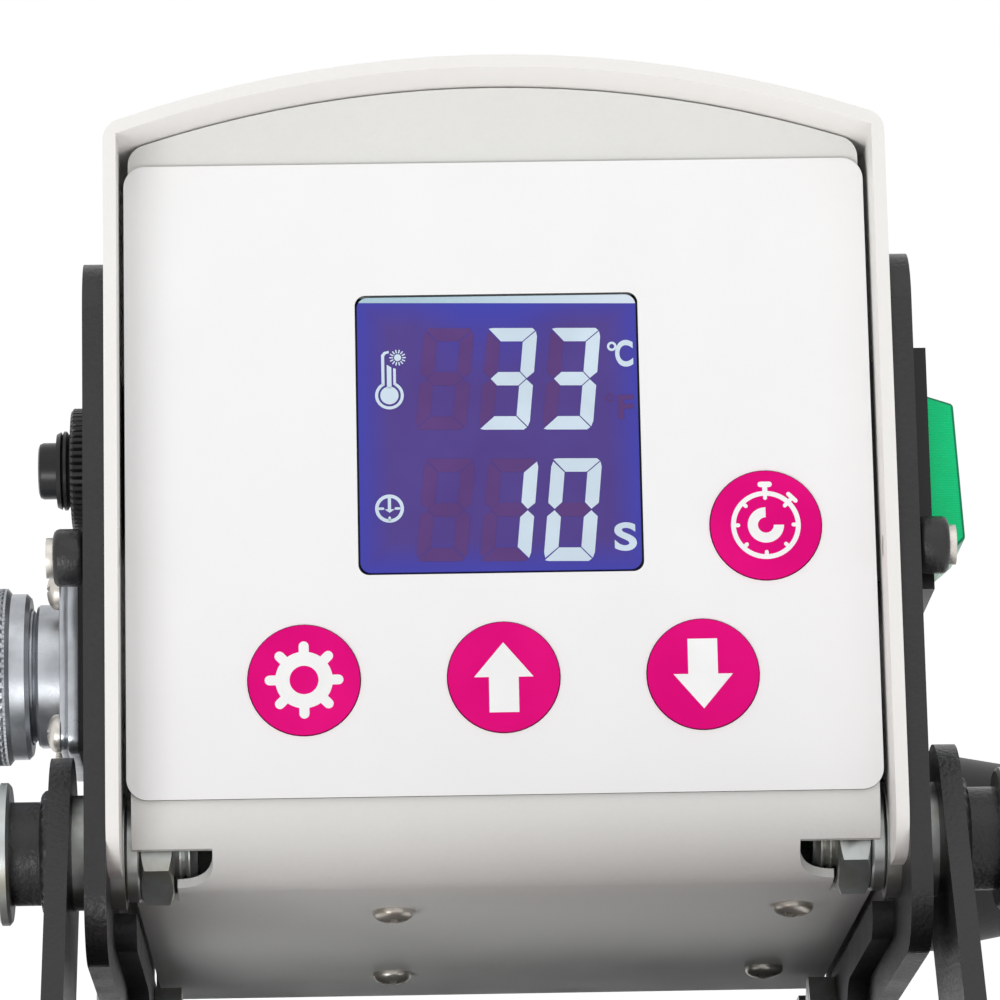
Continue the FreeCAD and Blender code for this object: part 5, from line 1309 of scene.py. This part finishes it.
@dataclass
class SoftParts:
    """The foam sleeve on the handle and the heating mats in the mug well."""

    head: HeadFrame
    finishes: Finishes
    bar_radius: float = 8.0
    sleeve_round: float = 4.0
    mat_inner: float = 42.0
    mat_outer: float = 46.0
    mat_sweep: float = 150.0
    mat_drop: Flat = (122.0, 27.0)
    mug_forward: float = 62.0
    jaw_open_deg: float = 12.5
    seam: float = 5.0

    def build(self) -> None:
        """Makes the sleeve and both mats."""
        self.bench = Bench(Matrix.Identity(4))
        self._sleeve()
        self._mat("front_heating_mat", "front_silicone_mat", "swinging_jaw", -1)
        self._mat("rear_heating_mat", "rear_silicone_mat", "stand", 1)

    def _sleeve(self) -> None:
        """Makes the foam sleeve, a little uneven from use."""
        low, high = (Vector(corner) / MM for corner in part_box("handle_grip"))
        middle = (low + high) / 2
        radius = (high.z - low.z) / 2
        end = high.x
        skin = radius - self.sleeve_round
        profile: list[Flat] = [(-end, self.bar_radius)]
        profile += [(-end + self.sleeve_round * (1 - math.cos(math.radians(step))),
                     skin + self.sleeve_round * math.sin(math.radians(step))) for step in range(0, 91, 15)]
        rows = 60
        run = 2 * (end - self.sleeve_round)
        profile += [(-end + self.sleeve_round + run * row / rows, radius) for row in range(1, rows + 1)]
        profile += [(end - self.sleeve_round * (1 - math.sin(math.radians(step))),
                     skin + self.sleeve_round * math.cos(math.radians(step))) for step in range(15, 91, 15)]
        profile += [(end, self.bar_radius), (-end, self.bar_radius)]
        sleeve = self.bench.lathe(profile, (0, middle.y, middle.z), 72)
        for vertex in sleeve.data.vertices:
            arm = Vector((0, vertex.co.y - middle.y, vertex.co.z - middle.z))
            if arm.length > self.bar_radius + 1:
                dent = 0.22 * (0.5 + 0.5 * noise.noise(vertex.co * 0.09))
                vertex.co -= arm.normalized() * dent
        self.bench.settle(sleeve, "foam_sleeve", "lever", self.finishes.get(Look.FOAM), "foam_grip",
                          ("handle_grip",))

    def _mat(self, node: str, name: str, body: str, facing: int) -> None:
        """Makes one curved heating mat with a pressed border.

        Args:
            node: the CAD node that it stands for.
            name: its name.
            body: the body that it moves with.
            facing: 1 for the rear mat, -1 for the front one.
        """
        low, high = (Vector(corner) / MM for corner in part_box(node))
        pivot = self.head.pivot / MM
        inner, outer = self.mat_inner, self.mat_outer
        foot, top = (-drop for drop in self.mat_drop)
        outline: list[Flat] = [(outer, foot), (outer, top), (inner + 0.6, top), (inner, top - 0.6)]
        for place in (top - self.seam, foot + self.seam):
            outline += [(inner, place + 0.7), (inner + 0.4, place + 0.3), (inner + 0.4, place - 0.3),
                        (inner, place - 0.7)]
        outline += [(inner, foot + 0.6), (inner + 0.6, foot)]
        self.bench.clear()
        bpy.ops.mesh.primitive_circle_add(vertices=len(outline), radius=1, fill_type="NGON")
        mat = bpy.context.object
        for vertex, (reach, height) in zip(mat.data.vertices, outline):
            vertex.co = (reach, 0, height)
        bpy.ops.object.mode_set(mode="EDIT")
        bpy.ops.mesh.select_all(action="SELECT")
        bpy.ops.mesh.spin(steps=60, angle=math.radians(self.mat_sweep), center=(0, 0, 0), axis=(0, 0, 1))
        bpy.ops.mesh.select_all(action="SELECT")
        bpy.ops.mesh.normals_make_consistent(inside=False)
        bpy.ops.object.mode_set(mode="OBJECT")
        across = sum(vertex.co.x for vertex in mat.data.vertices)
        along = sum(vertex.co.y for vertex in mat.data.vertices)
        turn = facing * math.pi / 2 - math.atan2(along, across)
        swing = math.radians(-self.jaw_open_deg) if facing < 0 else 0.0
        mat.data.transform(
            Matrix.Translation(pivot) @ Matrix.Rotation(swing, 4, "X")
            @ Matrix.Translation((0, -self.mug_forward, 0)) @ Matrix.Rotation(turn, 4, "Z")
        )
        self.bench.bevel(mat, 0.35, 2, 60)
        corners = [vertex.co for vertex in mat.data.vertices]
        miss = max(
            max(abs(min(corner[axis] for corner in corners) - low[axis]),
                abs(max(corner[axis] for corner in corners) - high[axis]))
            for axis in range(3)
        )
        log.info("%s: ends within %.2f mm of its solid", name, miss)
        self.bench.settle(mat, name, body, self.finishes.get(Look.SILICONE), "silicone", (node,))


@dataclass
class FrameFasteners:
    """The socket screws of the frame, the lever and the jaw."""

    head: HeadFrame
    finishes: Finishes
    socket_depth: float = 1.4
    weld: tuple[float, float, float] = (62.9, 7.2, 1.5)
    groups: tuple[tuple[str, str, str, float, float, Look, str], ...] = (
        ("frame_bolts", "socket_bolts", "stand", 2.3, 0.5, Look.ZINC, "zinc_steel"),
        ("handle_screws", "handle_socket_screws", "lever", 2.8, 0.5, Look.ZINC, "zinc_steel"),
        ("jaw_pins", "jaw_socket_pins", "lever", 2.8, 0.5, Look.ZINC, "zinc_steel"),
        ("side_bosses", "rounded_bosses", "stand", 0.0, 0.9, Look.BLACK_POWDER, "dark_sheet"),
        ("side_boss_screws", "domed_boss_screws", "stand", 0.0, 1.1, Look.BRIGHT_SCREW, "zinc_steel"),
    )

    def build(self) -> None:
        """Makes all the socket screws."""
        self.bench = Bench(Matrix.Identity(4))
        for group in self.groups:
            self._rounded(*group)
        self._welds()

    def _welds(self) -> None:
        """Lays an uneven weld bead round each lever boss."""
        place, radius, bead = self.weld
        pivot = self.head.pivot / MM
        shapes: list[bpy.types.Object] = []
        for side in (-1, 1):
            ring: list[Flat] = [
                (side * (place + bead * 0.9 * math.sin(math.radians(step))),
                 radius + bead * math.cos(math.radians(step)))
                for step in range(-90, 271, 30)
            ]
            shape = self.bench.lathe(ring, (0, pivot.y, pivot.z), 90)
            for vertex in shape.data.vertices:
                arm = Vector((0, vertex.co.y - pivot.y, vertex.co.z - pivot.z))
                angle = math.atan2(arm.z, arm.y)
                lump = 0.22 * math.sin(26 * angle) + 0.25 * noise.noise(vertex.co * 0.35)
                if arm.length > radius + 0.2:
                    vertex.co += arm.normalized() * lump
            shapes.append(shape)
        self.bench.settle(self.bench.join(shapes), "boss_welds", "lever",
                          self.finishes.get(Look.BLACK_POWDER), "dark_sheet")

    def _rounded(
        self, node: str, name: str, body: str, radius: float, rim: float, look: Look, slot: str
    ) -> None:
        """Rounds the rims of a group of turned pieces and cuts a six-sided socket where they have one.

        Args:
            node: the CAD node that they stand for.
            name: the name of the group.
            body: the body that it moves with.
            radius: the socket's radius over its corners, or 0 for none.
            rim: how far the rims are rounded.
            look: the finish.
            slot: the record's material slot.
        """
        source = bpy.data.objects[node]
        shape = source.copy()
        shape.data = source.data.copy()
        bpy.context.scene.collection.objects.link(shape)
        shape.data.materials.clear()
        shape.data.transform(Matrix.Scale(1 / MM, 4))
        self.bench.clear()
        shape.select_set(True)
        bpy.context.view_layer.objects.active = shape
        bpy.ops.object.mode_set(mode="EDIT")
        bpy.ops.mesh.select_all(action="SELECT")
        bpy.ops.mesh.remove_doubles(threshold=0.002)
        bpy.ops.mesh.separate(type="LOOSE")
        bpy.ops.object.mode_set(mode="OBJECT")
        screws = list(bpy.context.selected_objects)
        for screw in screws:
            corners = [vertex.co for vertex in screw.data.vertices]
            low = Vector([min(corner[place] for corner in corners) for place in range(3)])
            high = Vector([max(corner[place] for corner in corners) for place in range(3)])
            middle = (low + high) / 2
            face = high.x if middle.x > 0 else low.x
            self.bench.bevel(screw, rim, 3, 50)
            if not radius:
                continue
            self.bench.clear()
            bpy.ops.mesh.primitive_cylinder_add(vertices=6, radius=radius, depth=2 * self.socket_depth)
            tool = bpy.context.object
            tool.data.transform(Matrix.Translation((face, middle.y, middle.z))
                                @ Matrix.Rotation(math.pi / 2, 4, "Y"))
            self.bench.cut(screw, tool)
        self.bench.settle(self.bench.join(screws), name, body, self.finishes.get(look), slot, (node,))


LOOKS: dict[Look, tuple[str, ...]] = {
    Look.WHITE_PAINT: ("hood_cover",),
    Look.PANEL_PAINT: ("front_chassis", "rear_panel"),
    Look.KEY_FILM: ("settings_key", "up_key", "down_key", "timer_key"),
    Look.BLACK_PLASTIC: ("display_module", "key_switches", "switch_frame"),
    Look.LAMINATE: ("display_board", "power_board"),
    Look.ZINC: (
        "board_standoffs", "pivot_flat_washers", "pivot_spacers", "handle_bar", "frame_nuts", "foot_screws",
    ),
    Look.IRON: ("transformer",),
    Look.TERMINAL_BLUE: ("terminal_block",),
    Look.BLACK_POWDER: ("left_side_plate", "right_side_plate", "left_lever_plate", "right_lever_plate"),
    Look.BRIGHT_SCREW: ("rear_panel_screws",),
    Look.RUBBER: ("connector_gasket", "rubber_feet"),
    Look.BASE_POWDER: (
        "front_jaw", "rear_jaw", "rear_jaw_arm", "mug_rest", "left_upright", "right_upright", "front_brace",
        "rear_brace", "base_tray",
    ),
}


def dress_nodes(nodes: dict[str, bpy.types.Object], finishes: Finishes) -> None:
    """Gives each CAD node that stays in sight its finish.

    Args:
        nodes: the CAD nodes by name.
        finishes: the materials.
    """
    for look, names in LOOKS.items():
        for name in names:
            for slot in nodes[name].material_slots:
                slot.material = finishes.get(look)
            log.info("%s: finished as %s", name, look.value.name)


@dataclass
class Studio:
    """The floor, the lamps, the white surroundings and the camera."""

    head: HeadFrame
    focus: Point = (0.0, 0.0, 52.6)
    distance: float = 775.0
    forward: Point = (0.0251, 0.974, 0.2267)
    roll_deg: float = 0.85
    focal_px: float = 5580.0
    sensor_mm: float = 36.0
    world_light: float = 0.56
    world_seen: float = 1.0
    floor_paint: float = 0.85
    floor_glow: float = 0.5
    aim: Point = (0, 0.03, 0.17)

    def build(self) -> None:
        """Sets up the whole studio."""
        self._camera()
        self._floor()
        self._world()
        self._lamp("top_lamp", (0.15, -0.35, 1.5), 1.3, 2.6)
        self._lamp("front_lamp", (0.7, -1.5, 0.9), 1.2, 1.0)
        self._lamp("low_lamp", (-0.5, -1.0, 0.07), 0.5, 6.6)
        bpy.context.scene.view_settings.view_transform = "Standard"

    def _camera(self) -> None:
        """Puts the camera where the photograph was taken from."""
        data = bpy.data.cameras.new("camera")
        data.sensor_width = self.sensor_mm
        data.lens = self.focal_px / 1000 * data.sensor_width
        data.clip_start = 0.05
        camera = bpy.data.objects.new("camera", data)
        bpy.context.scene.collection.objects.link(camera)
        forward = self.head.direction(*self.forward)
        up = self.head.direction(0, -0.2267, 0.974)
        right = forward.cross(up).normalized()
        up = right.cross(forward).normalized()
        roll = math.radians(self.roll_deg)
        tilted_right = right * math.cos(roll) - up * math.sin(roll)
        tilted_up = up * math.cos(roll) + right * math.sin(roll)
        place = self.head.point(*self.focus) - forward * self.distance * MM
        turn = Matrix((tilted_right, tilted_up, -forward)).transposed().to_4x4()
        camera.matrix_world = Matrix.Translation(place) @ turn
        bpy.context.scene.camera = camera

    def _floor(self) -> None:
        """Lays a pale floor that reads as white and keeps the shadow of the press."""
        Bench.clear()
        bpy.ops.mesh.primitive_plane_add(size=12, location=(0, 0, 0))
        floor = bpy.context.object
        floor.name = "studio_floor"
        graph = Graph("studio_white")
        glow = graph.node("ShaderNodeEmission", {}, (1.0, 1.0, 1.0), self.floor_glow).outputs[0]
        matt = graph.node("ShaderNodeBsdfDiffuse", {}, (self.floor_paint,) * 3).outputs[0]
        both = graph.node("ShaderNodeAddShader", {}, matt, glow).outputs[0]
        graph.node("ShaderNodeOutputMaterial", {}, both)
        floor.data.materials.append(graph.material)

    def _world(self) -> None:
        """Fills the surroundings with white, and lights softly with them."""
        world = bpy.data.worlds.new("studio_world")
        bpy.context.scene.world = world
        world.use_nodes = True
        nodes, links = world.node_tree.nodes, world.node_tree.links
        nodes.clear()
        path = nodes.new("ShaderNodeLightPath")
        seen = nodes.new("ShaderNodeMath")
        seen.operation = "MAXIMUM"
        links.new(path.outputs["Is Camera Ray"], seen.inputs[0])
        clear = nodes.new("ShaderNodeMath")
        clear.operation = "MAXIMUM"
        links.new(path.outputs["Is Transmission Ray"], clear.inputs[0])
        links.new(path.outputs["Is Glossy Ray"], clear.inputs[1])
        links.new(clear.outputs[0], seen.inputs[1])
        light = nodes.new("ShaderNodeBackground")
        light.inputs[1].default_value = self.world_light
        white = nodes.new("ShaderNodeBackground")
        white.inputs[1].default_value = self.world_seen
        for background in (light, white):
            background.inputs[0].default_value = (1, 1, 1, 1)
        mixed = nodes.new("ShaderNodeMixShader")
        links.new(seen.outputs[0], mixed.inputs[0])
        links.new(light.outputs[0], mixed.inputs[1])
        links.new(white.outputs[0], mixed.inputs[2])
        out = nodes.new("ShaderNodeOutputWorld")
        links.new(mixed.outputs[0], out.inputs[0])

    def _lamp(self, name: str, place: Point, size: float, power: float) -> None:
        """Hangs one soft lamp that points at the head.

        Args:
            name: its name.
            place: where it hangs, in metres.
            size: the side of its square face, in metres.
            power: its power in watts.
        """
        data = bpy.data.lights.new(name, "AREA")
        data.size = size
        data.energy = power
        lamp = bpy.data.objects.new(name, data)
        bpy.context.scene.collection.objects.link(lamp)
        aim = Vector(self.aim) - Vector(place)
        lamp.matrix_world = Matrix.Translation(place) @ aim.to_track_quat("-Z", "Y").to_matrix().to_4x4()


def main() -> None:
    """Builds the scene."""
    logging.basicConfig(level=logging.INFO, format="%(name)s: %(message)s")
    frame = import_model()
    hinge = next(joint for joint in frame["joints"] if joint["name"] == "lever_hinge")
    head = HeadFrame(Vector(hinge["pos_m"]))
    finishes = Finishes()
    dress_nodes(frame["nodes"], finishes)
    for part in (ControlPanel, Hardware, LeftFittings, RightFittings, SoftParts, FrameFasteners):
        part(head, finishes).build()
    Studio(head).build()


if __name__ == "__main__":
    main()
